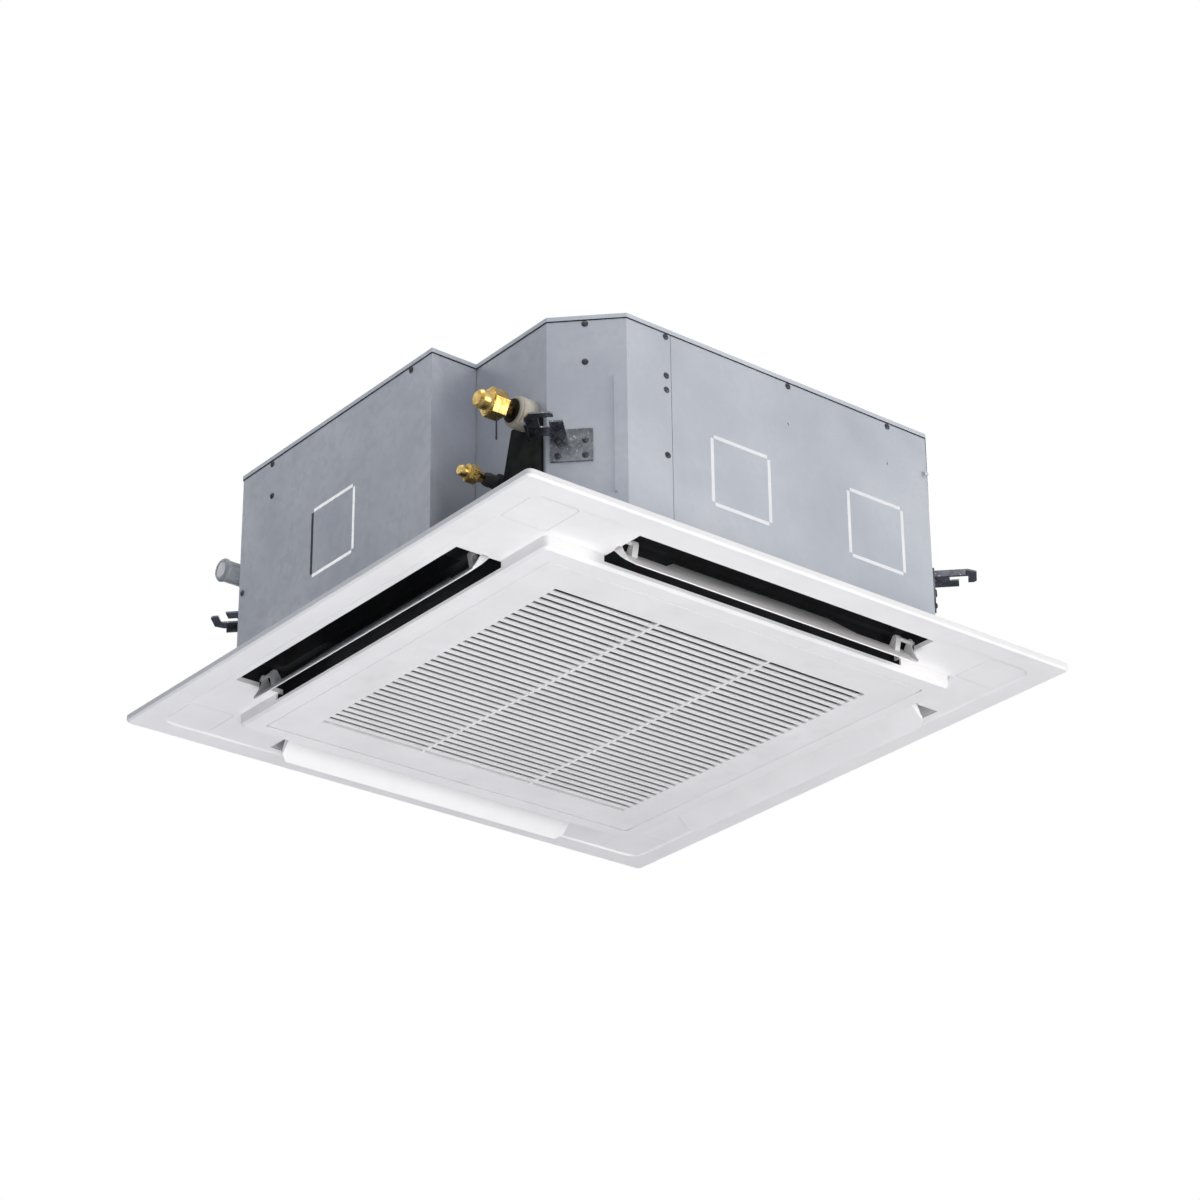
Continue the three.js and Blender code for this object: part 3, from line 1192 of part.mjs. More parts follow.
// Steel lug with an open slot for the hanging rod. X runs along the corner and Y outwards.
function hanger(flangeFrom, flangeTo) {
  const half = HANGER_WIDTH / 2;
  const start = CORNER_OUT + GAP;
  const tip = CORNER_OUT + HANGER_REACH;
  const outline = [
    [half, start], [half, tip - 12], [half - 8, tip], [-10, tip], [-14, tip - 4],
    [-14, CORNER_OUT + HANGER_SLOT_TO], [-HANGER_SLOT / 2, CORNER_OUT + HANGER_SLOT_TO],
    [-half, CORNER_OUT + HANGER_SLOT_TO - HANGER_SLOT], [-half, start],
  ];
  const plate = slab(outline, HANGER_Z, HANGER_Z + HANGER_STEEL);
  const slotHalf = HANGER_SLOT / 2;
  const slotEnd = CORNER_OUT + HANGER_SLOT_TO;
  const through = [HANGER_Z - 1, HANGER_Z + 9];
  const slot = box([-slotHalf, slotHalf], [CORNER_OUT + HANGER_SLOT_FROM, slotEnd], through);
  const mouth = box([-half - 1, 0], [slotEnd - HANGER_SLOT, slotEnd], through);
  const flangeZ = [HANGER_Z - HANGER_FLANGE_DOWN, HANGER_Z + HANGER_FLANGE_UP];
  const flange = box([flangeFrom, flangeTo], [start, start + HANGER_STEEL], flangeZ);
  const edgeZ = [HANGER_Z - HANGER_EDGE, HANGER_Z + 1];
  const turnedEdge = box([half - HANGER_STEEL, half], [start, tip - 16], edgeZ);
  return cut(join(plate, flange, turnedEdge), slot, mouth);
}

function controlBox() {
  const top = BOX_TOP;
  const x = [-BOX_X, BOX_X];
  const shell = box(x, BOX_Y, [BOX_BOTTOM, top]);
  const inside = ([from, to]) => [from + BOX_WALL, to - BOX_WALL];
  const room = box(inside(x), inside(BOX_Y), [BOX_BOTTOM - 1, top - BOX_WALL]);
  const flange = box([x[0] - 14, x[0] + 1], [BOX_Y[0] + 8, BOX_Y[1] - 8], [top - BOX_WALL, top]);
  return cut(join(shell, flange, flange.clone().translate(2 * BOX_X + 13, 0, 0)), room);
}

function boxCover() {
  const x = [-BOX_X - 1, BOX_X + 1];
  const y = [BOX_Y[0] - 1, BOX_Y[1] + 1];
  return box(x, y, [BOX_BOTTOM - GAP - BOX_WALL, BOX_BOTTOM - GAP]);
}

function circuitBoard() {
  const top = BOX_TOP - BOX_WALL;
  const [left, right] = [8 - BOX_X, BOX_X - 110];
  const [front, back] = [BOX_Y[0] + 6, BOX_Y[1] - 6];
  const board = box([left, right], [front, back], [top - 8, top - 6.4]);
  const post = (x, y) => disc(2.5, top - 7, top - GAP, 10).translate(x, y, 0);
  const posts = [left + 6, right - 6].flatMap((x) => [post(x, front + 6), post(x, back - 6)]);
  const part = (x, y, width, depth, height) => box(
    [left + x, left + x + width], [front + y, front + y + depth], [top - 8 - height, top - 7.5],
  );
  const coils = [part(22, 20, 34, 26, 12), part(72, 10, 20, 14, 8)];
  const plugs = [part(112, 14, 28, 20, 10), part(32, 58, 60, 12, 6)];
  return join(board, ...posts, ...coils, ...plugs);
}

function terminalBlock() {
  const top = BOX_TOP - BOX_WALL - GAP;
  const [left, right] = [BOX_X - 92, BOX_X - 12];
  const y = [BOX_Y[0] + 26, BOX_Y[0] + 58];
  const base = box([left, right], y, [top - 10, top]);
  const pitch = (right - left - 6) / 4;
  const wall = (i) => box([left + 2 + i * pitch, left + 4 + i * pitch], y, [top - 18, top - 9]);
  return join(base, ...[0, 1, 2, 3, 4].map(wall));
}

// ---------------------------------------------------------------- assembly

addPiece('panel_frame', panelFrame(), 'panelWhite');
CORNERS.forEach((corner, i) => {
  addPiece(`corner_cap_${corner}`, turnedTo(cornerCap(), i), 'panelWhite');
  addPiece(`panel_bolt_${corner}`, turnedTo(panelBolt(), i), 'galvanised');
});
addPiece('air_guide', airGuide(), 'blackFoam');

SIDES.forEach((side, i) => {
  const mount = new THREE.Group();
  mount.rotation.z = (Math.PI / 2) * i;
  cassette.add(mount);
  const blade = addPiece(`flap_${side}`, flap(), 'panelWhite');
  blade.position.set(0, -FLAP_AXIS_OUT, FLAP_AXIS_Z);
  blade.rotation.x = THREE.MathUtils.degToRad(FLAP_OPEN_DEG);
  mount.add(blade);
  mount.add(addPiece(`flap_motor_${side}`, flapMotor(), 'fanGrey'));
});

addPiece('intake_grille', intakeGrille(), 'panelWhite');
addPiece('air_filter', airFilter(), 'filterNet');
addPiece('grille_hinge_pin_left', hingePin(-1), 'galvanised');
addPiece('grille_hinge_pin_right', hingePin(1), 'galvanised');
addPiece('grille_latch_left', grilleLatch(-1), 'panelWhite');
addPiece('grille_latch_right', grilleLatch(1), 'panelWhite');

addPiece('front_sheet', frontSheet(), 'galvanised');
addPiece('right_sheet', rightSheet(), 'galvanised');
addPiece('back_sheet', backSheet(), 'galvanised');
addPiece('left_sheet', leftSheet(), 'galvanised');
addPiece('pipe_corner_sheet', pipeCornerSheet(), 'galvanised');
addPiece('top_plate', topPlate(), 'galvanised');
addPiece('foam_liner', linerAndPumpRoom(), 'whiteFoam');

addPiece('drain_pan', drainPan(), 'blackFoam');
addPiece('drain_pump', drainPump(), 'fanGrey');
addPiece('drain_port', drainPort(), 'clearPlastic');
addPiece('float_switch', floatSwitch(), 'panelWhite');
addPiece('float', floatRing(), 'fanGrey');

addPiece('bell_mouth', bellMouth(), 'fanGrey');
addPiece('turbo_fan', turboFan(), 'fanGrey');
addPiece('fan_nut', fanNut(), 'galvanised');
addPiece('motor_shaft', motorShaft(), 'galvanised');
addPiece('fan_motor', fanMotor(), 'galvanised');
addPiece('motor_plate', motorPlate(), 'darkSteel');

addPiece('heat_exchanger', heatExchanger(), 'coilFins');
addPiece('coil_end_left', leftCoilEnd(), 'copper');
addPiece('coil_end_front', frontCoilEnd(), 'copper');
addPiece('gas_header', gasHeader(), 'copper');
addPiece('gas_pipe', gasPipe(), 'copper');
addPiece('gas_flare_nut', gasNut(), 'brass');
addPiece('gas_pipe_collar', gasCollar(), 'collar');
addPiece('liquid_pipe', liquidPipe(), 'copper');
addPiece('liquid_flare_nut', liquidNut(), 'brass');
addPiece('pipe_port_cover', portCover(), 'blackFoam');

CORNERS.forEach((corner, i) => {
  const atRecess = corner === 'front_left';
  const flange = atRecess ? [-60, -4] : [-25, 25];
  addPiece(`hanger_${corner}`, atCorner(hanger(...flange), i), 'darkSteel');
});

addPiece('control_box', controlBox(), 'galvanised');
addPiece('control_box_cover', boxCover(), 'galvanised');
addPiece('circuit_board', circuitBoard(), 'circuit');
addPiece('terminal_block', terminalBlock(), 'panelWhite');

export default cassette;
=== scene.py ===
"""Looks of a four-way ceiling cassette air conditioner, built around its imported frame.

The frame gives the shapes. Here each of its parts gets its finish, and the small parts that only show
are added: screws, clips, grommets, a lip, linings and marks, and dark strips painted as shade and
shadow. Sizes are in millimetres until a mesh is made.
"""

import logging
import math
from dataclasses import dataclass, field
from enum import Enum
from typing import Sequence

import bmesh
import bpy
from mathutils import Matrix, Vector


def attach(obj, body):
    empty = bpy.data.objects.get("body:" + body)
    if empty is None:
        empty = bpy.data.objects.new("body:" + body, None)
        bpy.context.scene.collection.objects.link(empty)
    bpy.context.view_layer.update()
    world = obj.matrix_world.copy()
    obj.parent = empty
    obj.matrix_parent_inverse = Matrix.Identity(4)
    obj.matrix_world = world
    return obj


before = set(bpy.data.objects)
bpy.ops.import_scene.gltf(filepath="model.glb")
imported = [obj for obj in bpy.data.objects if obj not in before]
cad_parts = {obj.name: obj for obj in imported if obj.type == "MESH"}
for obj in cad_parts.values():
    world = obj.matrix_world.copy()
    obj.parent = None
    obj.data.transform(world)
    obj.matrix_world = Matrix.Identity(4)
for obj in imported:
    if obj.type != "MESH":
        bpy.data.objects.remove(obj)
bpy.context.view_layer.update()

log = logging.getLogger("cassette")
MM = 0.001
Point = tuple[float, float, float]
Colour = tuple[float, float, float, float]
Outline = list[tuple[float, float]]
Socket = bpy.types.NodeSocket

SIDES = ("front", "right", "back", "left")
CORNERS = ("front_right", "back_right", "back_left", "front_left")
NEAR_CORNER = CORNERS.index("front_left")
FRONT: Point = (0, -1, 0)
LEFT: Point = (-1, 0, 0)
RIGHT: Point = (1, 0, 0)
BACK: Point = (0, 1, 0)
NEAR: Point = (-1, -1, 0)

WHITE: Colour = (1.0, 1.0, 1.0, 1.0)
WELD_REACH = 1e-5  # metres; corners nearer than this are one corner when a piece is shaded
ON_AXIS = 1e-6  # millimetres; a radius below this is a point on the axis
WAVE_REPEAT = 2 * math.pi / 20  # scale at which a wave texture repeats once in a unit
SCRATCH_STRETCH: Point = (1, 14, 14)
SCRATCH_TURN: Point = (0.2, 0.1, 0.7)

# Turned profiles: radius and height of each point in millimetres.
GROMMET_PROFILE = ((5.1, 0.1), (12.5, 0.1), (13.2, 1.2), (13.0, 3.4), (11.4, 4.6), (8.2, 5.0), (5.6, 6.8),
                   (5.1, 6.8), (5.1, 0.1))
SLEEVE_PROFILE = ((5.0, 6.9), (8.6, 6.9), (9.8, 9.0), (9.2, 13.5), (9.9, 18.0), (9.0, 23.0), (7.2, 27.4),
                  (5.0, 27.4), (5.0, 6.9))
TIE_PROFILE = ((0, 0), (1.2, 0.4), (1.5, 3), (1.3, 6), (1.2, 30), (1.6, 35.6), (0, 35.6))
# The corner's fold: half width, lower end, upper end, and the heights that each step stands between.
FOLD_STEPS = ((2.6, 55, 227, -0.3, 1.4), (1.1, 56.5, 225.5, 1.2, 3.0))
# The wire clip: outline of its plate and of its nose, and the heights that each stands between.
CLIP_LAYERS = ((((-4.5, -4), (4.5, -4), (4.5, 4), (-4.5, 4)), -0.1, 1.2),
               (((-2.5, -3), (3, -3), (4.5, 0), (3, 3), (-2.5, 3)), 1.0, 4.2))


def tone(code: str) -> Colour:
    """Turn a colour written as six hex digits into linear light.

    Args:
        code: the colour as it should look, such as "c5cad2".

    Returns:
        Red, green, blue and alpha for a shader socket.
    """
    parts = [int(code[i:i + 2], 16) / 255 for i in (0, 2, 4)]
    linear = [p / 12.92 if p <= 0.04045 else ((p + 0.055) / 1.055) ** 2.4 for p in parts]
    return (linear[0], linear[1], linear[2], 1.0)


# ------------------------------------------------------------------ node graphs


class Graph:
    """The node graph of one finish, with short calls for the nodes that the finishes share."""

    def __init__(self, name: str) -> None:
        """Start a material with its shader, its output and the part's own coordinates.

        Args:
            name: the material's name.
        """
        self.material = bpy.data.materials.new(name)
        self.material.use_nodes = True
        self.tree = self.material.node_tree
        self.tree.nodes.clear()
        self.shader = self.add("ShaderNodeBsdfPrincipled")
        output = self.add("ShaderNodeOutputMaterial")
        self.join(self.shader.outputs["BSDF"], output.inputs["Surface"])
        self.place = self.add("ShaderNodeTexCoord").outputs["Object"]

    def add(self, kind: str, **settings: object) -> bpy.types.Node:
        """Add a node and set its options.

        Args:
            kind: the node's type name.
            settings: options of the node.

        Returns:
            The new node.
        """
        node = self.tree.nodes.new(kind)
        for key, value in settings.items():
            setattr(node, key, value)
        return node

    def join(self, start: Socket, end: Socket) -> None:
        """Link one socket to another."""
        self.tree.links.new(start, end)

    def set(self, **sockets: object) -> None:
        """Set plain values on the shader, by socket names with underscores for spaces."""
        for key, value in sockets.items():
            self.shader.inputs[key.replace("_", " ")].default_value = value

    def stretched(self, scale: Point, turn: Point = (0, 0, 0)) -> Socket:
        """Give the part's coordinates a different scale along each axis.

        Args:
            scale: factors along X, Y and Z.
            turn: rotation in radians, applied after the scale.

        Returns:
            The stretched coordinates.
        """
        node = self.add("ShaderNodeMapping")
        node.inputs["Scale"].default_value = scale
        node.inputs["Rotation"].default_value = turn
        self.join(self.place, node.inputs["Vector"])
        return node.outputs["Vector"]

    def noise(self, size: float, detail: float = 3.0, place: Socket | None = None) -> Socket:
        """Soft noise.

        Args:
            size: the size of its patches in millimetres.
            detail: how many finer layers it has.
            place: other coordinates than the part's own.

        Returns:
            A value from 0 to 1.
        """
        node = self.add("ShaderNodeTexNoise")
        node.inputs["Scale"].default_value = 1 / (size * MM)
        node.inputs["Detail"].default_value = detail
        self.join(place or self.place, node.inputs["Vector"])
        return node.outputs["Fac"]

    def cells(self, size: float, edges: bool = False, place: Socket | None = None) -> Socket:
        """A pattern of cells.

        Args:
            size: the cells' size in millimetres.
            edges: whether the value is the distance to the cells' edges. Otherwise each cell has one grey.
            place: other coordinates than the part's own.

        Returns:
            A value from 0 to 1.
        """
        node = self.add("ShaderNodeTexVoronoi", feature="DISTANCE_TO_EDGE" if edges else "F1")
        node.inputs["Scale"].default_value = 1 / (size * MM)
        self.join(place or self.place, node.inputs["Vector"])
        if edges:
            return node.outputs["Distance"]
        grey = self.add("ShaderNodeSeparateColor")
        self.join(node.outputs["Color"], grey.inputs["Color"])
        return grey.outputs["Red"]

    def lines(self, pitch: float, along: str, wobble: float = 0.0, place: Socket | None = None) -> Socket:
        """Even lines across one axis.

        Args:
            pitch: from one line to the next, in millimetres.
            along: the axis that they are counted along, "X", "Y", "Z" or "DIAGONAL".
            wobble: how far they wander.
            place: other coordinates than the part's own.

        Returns:
            A value from 0 to 1.
        """
        node = self.add("ShaderNodeTexWave", bands_direction=along)
        node.inputs["Scale"].default_value = WAVE_REPEAT / (pitch * MM)
        node.inputs["Distortion"].default_value = wobble
        self.join(place or self.place, node.inputs["Vector"])
        return node.outputs["Fac"]

    def spread(self, value: Socket, low: float, high: float, start: float = 0.3,
               end: float = 0.7) -> Socket:
        """Map a value from one range to another.

        Args:
            value: what is mapped.
            low: result at the start of the range.
            high: result at the end of the range.
            start: where the range starts.
            end: where the range ends.

        Returns:
            The mapped value, kept between low and high.
        """
        node = self.add("ShaderNodeMapRange")
        for key, number in (("From Min", start), ("From Max", end), ("To Min", low), ("To Max", high)):
            node.inputs[key].default_value = number
        self.join(value, node.inputs["Value"])
        return node.outputs["Result"]

    def combine(self, first: Socket, second: Socket, operation: str = "MULTIPLY") -> Socket:
        """Join two values with a sum, a product or the like.

        Args:
            first: one value.
            second: the other value.
            operation: the name of the operation.

        Returns:
            The result.
        """
        node = self.add("ShaderNodeMath", operation=operation)
        self.join(first, node.inputs[0])
        self.join(second, node.inputs[1])
        return node.outputs[0]

    def mixed(self, factor: Socket, first: Colour | Socket, second: Colour | Socket) -> Socket:
        """Mix two colours.

        Args:
            factor: how much of the second colour shows.
            first: a colour or a link.
            second: a colour or a link.

        Returns:
            The mixed colour.
        """
        node = self.add("ShaderNodeMix", data_type="RGBA")
        self.join(factor, node.inputs[0])
        for socket, value in ((node.inputs[6], first), (node.inputs[7], second)):
            if isinstance(value, bpy.types.NodeSocket):
                self.join(value, socket)
            else:
                socket.default_value = value
        return node.outputs[2]

    def relief(self, height: Socket, depth: float, strength: float = 1.0,
               over: Socket | None = None) -> Socket:
        """Turn a height into a bump.

        Args:
            height: a value from 0 to 1.
            depth: the height of 1, in millimetres.
            strength: how much of it shows.
            over: a coarser bump that this one lies on.

        Returns:
            The bent normal.
        """
        node = self.add("ShaderNodeBump")
        node.inputs["Distance"].default_value = depth * MM
        node.inputs["Strength"].default_value = strength
        self.join(height, node.inputs["Height"])
        if over is not None:
            self.join(over, node.inputs["Normal"])
        return node.outputs["Normal"]

    def rounded(self, radius: float = 0.6) -> Socket:
        """Bend the normal near a form's edges, as if they were rounded off.

        Args:
            radius: the radius of the rounding in millimetres.

        Returns:
            The bent normal.
        """
        node = self.add("ShaderNodeBevel", samples=4)
        node.inputs["Radius"].default_value = radius * MM
        return node.outputs["Normal"]

    def finish(self, colour: Socket, roughness: Socket, normal: Socket) -> bpy.types.Material:
        """Link the three worked-out surfaces to the shader.

        Args:
            colour: the colour.
            roughness: the roughness.
            normal: the bent normal.

        Returns:
            The finished material.
        """
        self.join(colour, self.shader.inputs["Base Color"])
        self.join(roughness, self.shader.inputs["Roughness"])
        self.join(normal, self.shader.inputs["Normal"])
        return self.material


# ------------------------------------------------------------------ finishes


class Rolling(Enum):
    """Which way the rolling marks of a sheet run."""

    LEVEL = (4.0, 4.0, 260.0)
    ACROSS = (260.0, 4.0, 4.0)


@dataclass(frozen=True)
class Finish:
    """What every finish has: a name, two close colours, a colour of dirt and painted shade, and a range of
    roughness.
    """

    name: str
    main: str
    shade: str
    dirt_and_shade: str
    smooth: float = 0.35
    rough: float = 0.5

    def material(self) -> bpy.types.Material:
        """Build the node material of this finish."""
        raise NotImplementedError

    def base(self, graph: Graph, patch: float = 90.0, soil: float = 0.12) -> Socket:
        """Colour that drifts between the two close colours, with faint patches of dirt.

        Args:
            graph: the node graph to build in.
            patch: the size of the drift in millimetres.
            soil: the most that the dirt colour shows.

        Returns:
            The colour.
        """
        drift = graph.spread(graph.noise(patch, 4), 0, 1, 0.35, 0.65)
        clean = graph.mixed(drift, tone(self.main), tone(self.shade))
        spots = graph.spread(graph.noise(patch * 0.35, 6), 0, soil, 0.55, 0.8)
        return graph.mixed(spots, clean, tone(self.dirt_and_shade))

    def sheen(self, graph: Graph, patch: float = 25.0) -> Socket:
        """Roughness that drifts over the surface."""
        return graph.spread(graph.noise(patch, 5), self.smooth, self.rough, 0.35, 0.65)


@dataclass(frozen=True)
class MouldedPlastic(Finish):
    """Injection-moulded plastic with a fine spark-eroded grain and faint handling marks."""

    grain: float = 0.55
    depth: float = 0.02
    soil: float = 0.1
    gloss: float = 0.5
    scratch: float = 6.0
    flow: float = 60.0

    def material(self) -> bpy.types.Material:
        """Build the node material of this finish.

        Returns:
            The material.
        """
        graph = Graph(self.name)
        graph.set(Specular_IOR_Level=self.gloss)
        scratches = graph.noise(self.scratch, 2, graph.stretched(SCRATCH_STRETCH, SCRATCH_TURN))
        marks = graph.spread(scratches, 0, 0.12, 0.66, 0.78)
        rough = graph.combine(self.sheen(graph), marks, "ADD")
        flow = graph.relief(graph.noise(self.flow, 1), 0.12, 0.35, graph.rounded())
        normal = graph.relief(graph.noise(self.grain, 2), self.depth, 0.6, flow)
        return graph.finish(self.base(graph, soil=self.soil), rough, normal)


@dataclass(frozen=True)
class ZincSheet(Finish):
    """Zinc-coated sheet steel: faint spangle, rolling marks and scuffs."""

    metal: float = 0.3
    rolling: Rolling = Rolling.LEVEL
    spangle: float = 9.0
    streak: float = 7.0
    buckle: float = 110.0

    def material(self) -> bpy.types.Material:
        """Build the node material of this finish.

        Returns:
            The material.
        """
        graph = Graph(self.name)
        graph.set(Metallic=self.metal)
        crystal = graph.cells(self.spangle)
        streaks = graph.noise(self.streak, 5, graph.stretched(self.rolling.value))
        base = self.base(graph, 160.0, 0.16)
        frosted = graph.mixed(graph.spread(crystal, 0, 0.22, 0.2, 0.9), base, tone(self.shade))
        colour = graph.mixed(graph.spread(streaks, 0, 0.2, 0.45, 0.75), frosted, tone(self.dirt_and_shade))
        rough = graph.spread(graph.combine(crystal, streaks), self.smooth, self.rough, 0.05, 0.6)
        waviness = graph.relief(graph.noise(self.buckle, 1), 0.5, 0.3)
        normal = graph.relief(streaks, 0.025, 0.5, waviness)
        return graph.finish(colour, rough, normal)


@dataclass(frozen=True)
class DarkSteel(Finish):
    """Dark plated steel, with the plating thinned to bare metal in specks."""

    bare: str = "8d9196"
    metal: float = 0.6
    speck: float = 3.5

    def material(self) -> bpy.types.Material:
        """Build the node material of this finish.

        Returns:
            The material.
        """
        graph = Graph(self.name)
        graph.set(Metallic=self.metal)
        specks = graph.spread(graph.noise(self.speck, 8), 0, 0.7, 0.6, 0.72)
        colour = graph.mixed(specks, self.base(graph, 20, 0.3), tone(self.bare))
        normal = graph.relief(graph.noise(0.9, 4), 0.05, 0.7)
        return graph.finish(colour, self.sheen(graph, 6), normal)


@dataclass(frozen=True)
class CellFoam(Finish):
    """Foam: soft cells or beads with dark seams between them."""

    bead: float = 3.5
    depth: float = 0.35
    seam: float = 0.2

    def material(self) -> bpy.types.Material:
        """Build the node material of this finish.

        Returns:
            The material.
        """
        graph = Graph(self.name)
        edge = graph.cells(self.bead, edges=True)
        seams = graph.spread(edge, self.seam, 0, 0.0, 0.12)
        colour = graph.mixed(seams, self.base(graph, 45), tone(self.dirt_and_shade))
        coarse = graph.relief(graph.spread(edge, 0, 1, 0.0, 0.25), self.depth, 0.8)
        normal = graph.relief(graph.noise(self.bead * 0.2, 3), self.depth * 0.25, 0.6, coarse)
        return graph.finish(colour, self.sheen(graph), normal)


@dataclass(frozen=True)
class BareMetal(Finish):
    """Turned or drawn bare metal, with tool marks along one axis and tarnish."""

    marks: str = "X"
    pitch: float = 0.5
    tarnish: float = 0.45
    stain: float = 9.0

    def material(self) -> bpy.types.Material:
        """Build the node material of this finish.

        Returns:
            The material.
        """
        graph = Graph(self.name)
        graph.set(Metallic=1.0)
        dulled = graph.spread(graph.noise(self.stain, 7), 0, self.tarnish, 0.45, 0.72)
        colour = graph.mixed(dulled, self.base(graph, 14, 0.1), tone(self.dirt_and_shade))
        rough = graph.combine(self.sheen(graph, 5), graph.spread(dulled, 0, 0.25, 0, 0.5), "ADD")
        marks = graph.lines(self.pitch, self.marks, 0.6)
        turned = graph.relief(marks, 0.012, 0.5, graph.rounded(0.4))
        normal = graph.relief(graph.noise(1.5, 4), 0.02, 0.5, turned)
        return graph.finish(colour, rough, normal)


@dataclass(frozen=True)
class FinStack(Finish):
    """Thin upright fins stacked along the coil, with painted shade darkening the gaps between them."""

    pitch: float = 1.6

    def material(self) -> bpy.types.Material:
        """Build the node material of this finish.

        Returns:
            The material.
        """
        graph = Graph(self.name)
        graph.set(Metallic=0.75)
        place = graph.add("ShaderNodeSeparateXYZ")
        graph.join(graph.place, place.inputs["Vector"])
        run = graph.combine(place.outputs["X"], place.outputs["Y"], "ADD")
        line = graph.add("ShaderNodeCombineXYZ")
        graph.join(run, line.inputs["X"])
        fins = graph.lines(self.pitch, "X", place=line.outputs["Vector"])
        # Painted shade: the gaps between the fins are darkened.
        gap_shade = graph.spread(fins, 0.85, 0, 0.15, 0.55)
        colour = graph.mixed(gap_shade, self.base(graph, 30), tone(self.dirt_and_shade))
        return graph.finish(colour, self.sheen(graph), graph.relief(fins, 0.5, 0.9))


@dataclass(frozen=True)
class WovenNet(Finish):
    """Fine woven net, with its holes painted dark as the shade of the space behind it."""

    pitch: float = 1.8

    def material(self) -> bpy.types.Material:
        """Build the node material of this finish.

        Returns:
            The material.
        """
        graph = Graph(self.name)
        threads = graph.combine(graph.lines(self.pitch, "X"), graph.lines(self.pitch, "Y"), "MAXIMUM")
        # Painted shade: the holes of the net are darkened nearly to black.
        hole_shade = graph.spread(threads, 0.9, 0, 0.4, 0.8)
        colour = graph.mixed(hole_shade, self.base(graph, 40, 0.25), tone(self.dirt_and_shade))
        return graph.finish(colour, self.sheen(graph), graph.relief(threads, 0.3, 0.8))


@dataclass(frozen=True)
class MilkyPlastic(Finish):
    """Translucent moulded plastic."""

    clear: float = 0.3

    def material(self) -> bpy.types.Material:
        """Build the node material of this finish.

        Returns:
            The material.
        """
        graph = Graph(self.name)
        graph.set(Transmission_Weight=self.clear, IOR=1.49)
        normal = graph.relief(graph.noise(4, 3), 0.05, 0.4)
        return graph.finish(self.base(graph, 10, 0.15), self.sheen(graph, 4), normal)


@dataclass(frozen=True)
class CircuitLacquer(Finish):
    """Green lacquer over copper tracks."""

    track: str = "5f9a6a"

    def material(self) -> bpy.types.Material:
        """Build the node material of this finish.

        Returns:
            The material.
        """
        graph = Graph(self.name)
        edge = graph.cells(7, edges=True, place=graph.stretched((1, 1, 0.01)))
        tracks = graph.spread(edge, 0.8, 0, 0.04, 0.07)
        colour = graph.mixed(tracks, self.base(graph, 20), tone(self.track))
        return graph.finish(colour, self.sheen(graph), graph.relief(tracks, 0.04, 0.6))


PANEL_WHITE = MouldedPlastic("panel_white", "f2f1f1", "edecec", "cfcdc8", 0.38, 0.5)
GRILLE_WHITE = MouldedPlastic("grille_white", "f0efef", "eae9e9", "bdbbb7", 0.4, 0.55, soil=0.16)
FLAP_WHITE = MouldedPlastic("flap_white", "f3f2f2", "eeeded", "cbc9c5", 0.32, 0.45)
CASING_ZINC = ZincSheet("casing_zinc", "c2c6cd", "b1b6bf", "8b9099", 0.36, 0.55)
LID_ZINC = ZincSheet("lid_zinc", "ccd1d8", "bcc2cb", "949aa2", 0.34, 0.52, rolling=Rolling.ACROSS)
SMALL_ZINC = ZincSheet("small_zinc", "d0d3d8", "b4b8be", "83878d", 0.25, 0.45, metal=0.85, spangle=3.0)
MOTOR_ZINC = ZincSheet("motor_zinc", "b9bdc3", "a5aab1", "777b81", 0.35, 0.55, metal=0.7)
LUG_STEEL = DarkSteel("lug_steel", "84878d", "5d6065", "2c2d30", 0.18, 0.36, bare="dfe1e4", metal=0.85)
PLATE_STEEL = DarkSteel("plate_steel", "4a4c50", "3c3e42", "5d564d", 0.4, 0.6)
DUCT_FOAM = CellFoam("duct_foam", "17181b", "1f2023", "0b0b0c", 0.85, 0.97, bead=1.6, depth=0.15)
# Black cell rubber of the pipe grommet, also used as painted shadow in the strip under the lid's edge.
SEAL_AND_SHADOW_BLACK = CellFoam("seal_and_painted_shadow", "1b1c1f", "26272a", "0b0b0c", 0.88, 0.98, bead=1.0, depth=0.2)
COVER_BLACK = MouldedPlastic("cover_black", "0c0d0e", "121314", "262625", 0.55, 0.75,
                             soil=0.12, gloss=0.15)
PAN_FOAM = CellFoam("pan_foam", "1a1b1d", "222326", "0b0b0c", 0.85, 0.96, bead=4.0)
LINER_FOAM = CellFoam("liner_foam", "dfe0df", "d5d6d5", "a9a9a4", 0.85, 0.95, bead=2.6)
FAN_GREY = MouldedPlastic("fan_grey", "55585d", "4a4d52", "75736f", 0.45, 0.62, soil=0.3)
BELL_GREY = MouldedPlastic("bell_grey", "62656a", "585b60", "7b7975", 0.45, 0.62, soil=0.25)
PUMP_GREY = MouldedPlastic("pump_grey", "8d9095", "82858a", "a5a29b", 0.4, 0.55, soil=0.2)
MOTOR_BLACK = MouldedPlastic("motor_black", "2c2e31", "37393d", "57544f", 0.35, 0.5, soil=0.2)
FLOAT_BLUE = MouldedPlastic("float_blue", "3f5f86", "385678", "6d7a86", 0.4, 0.55, soil=0.2)
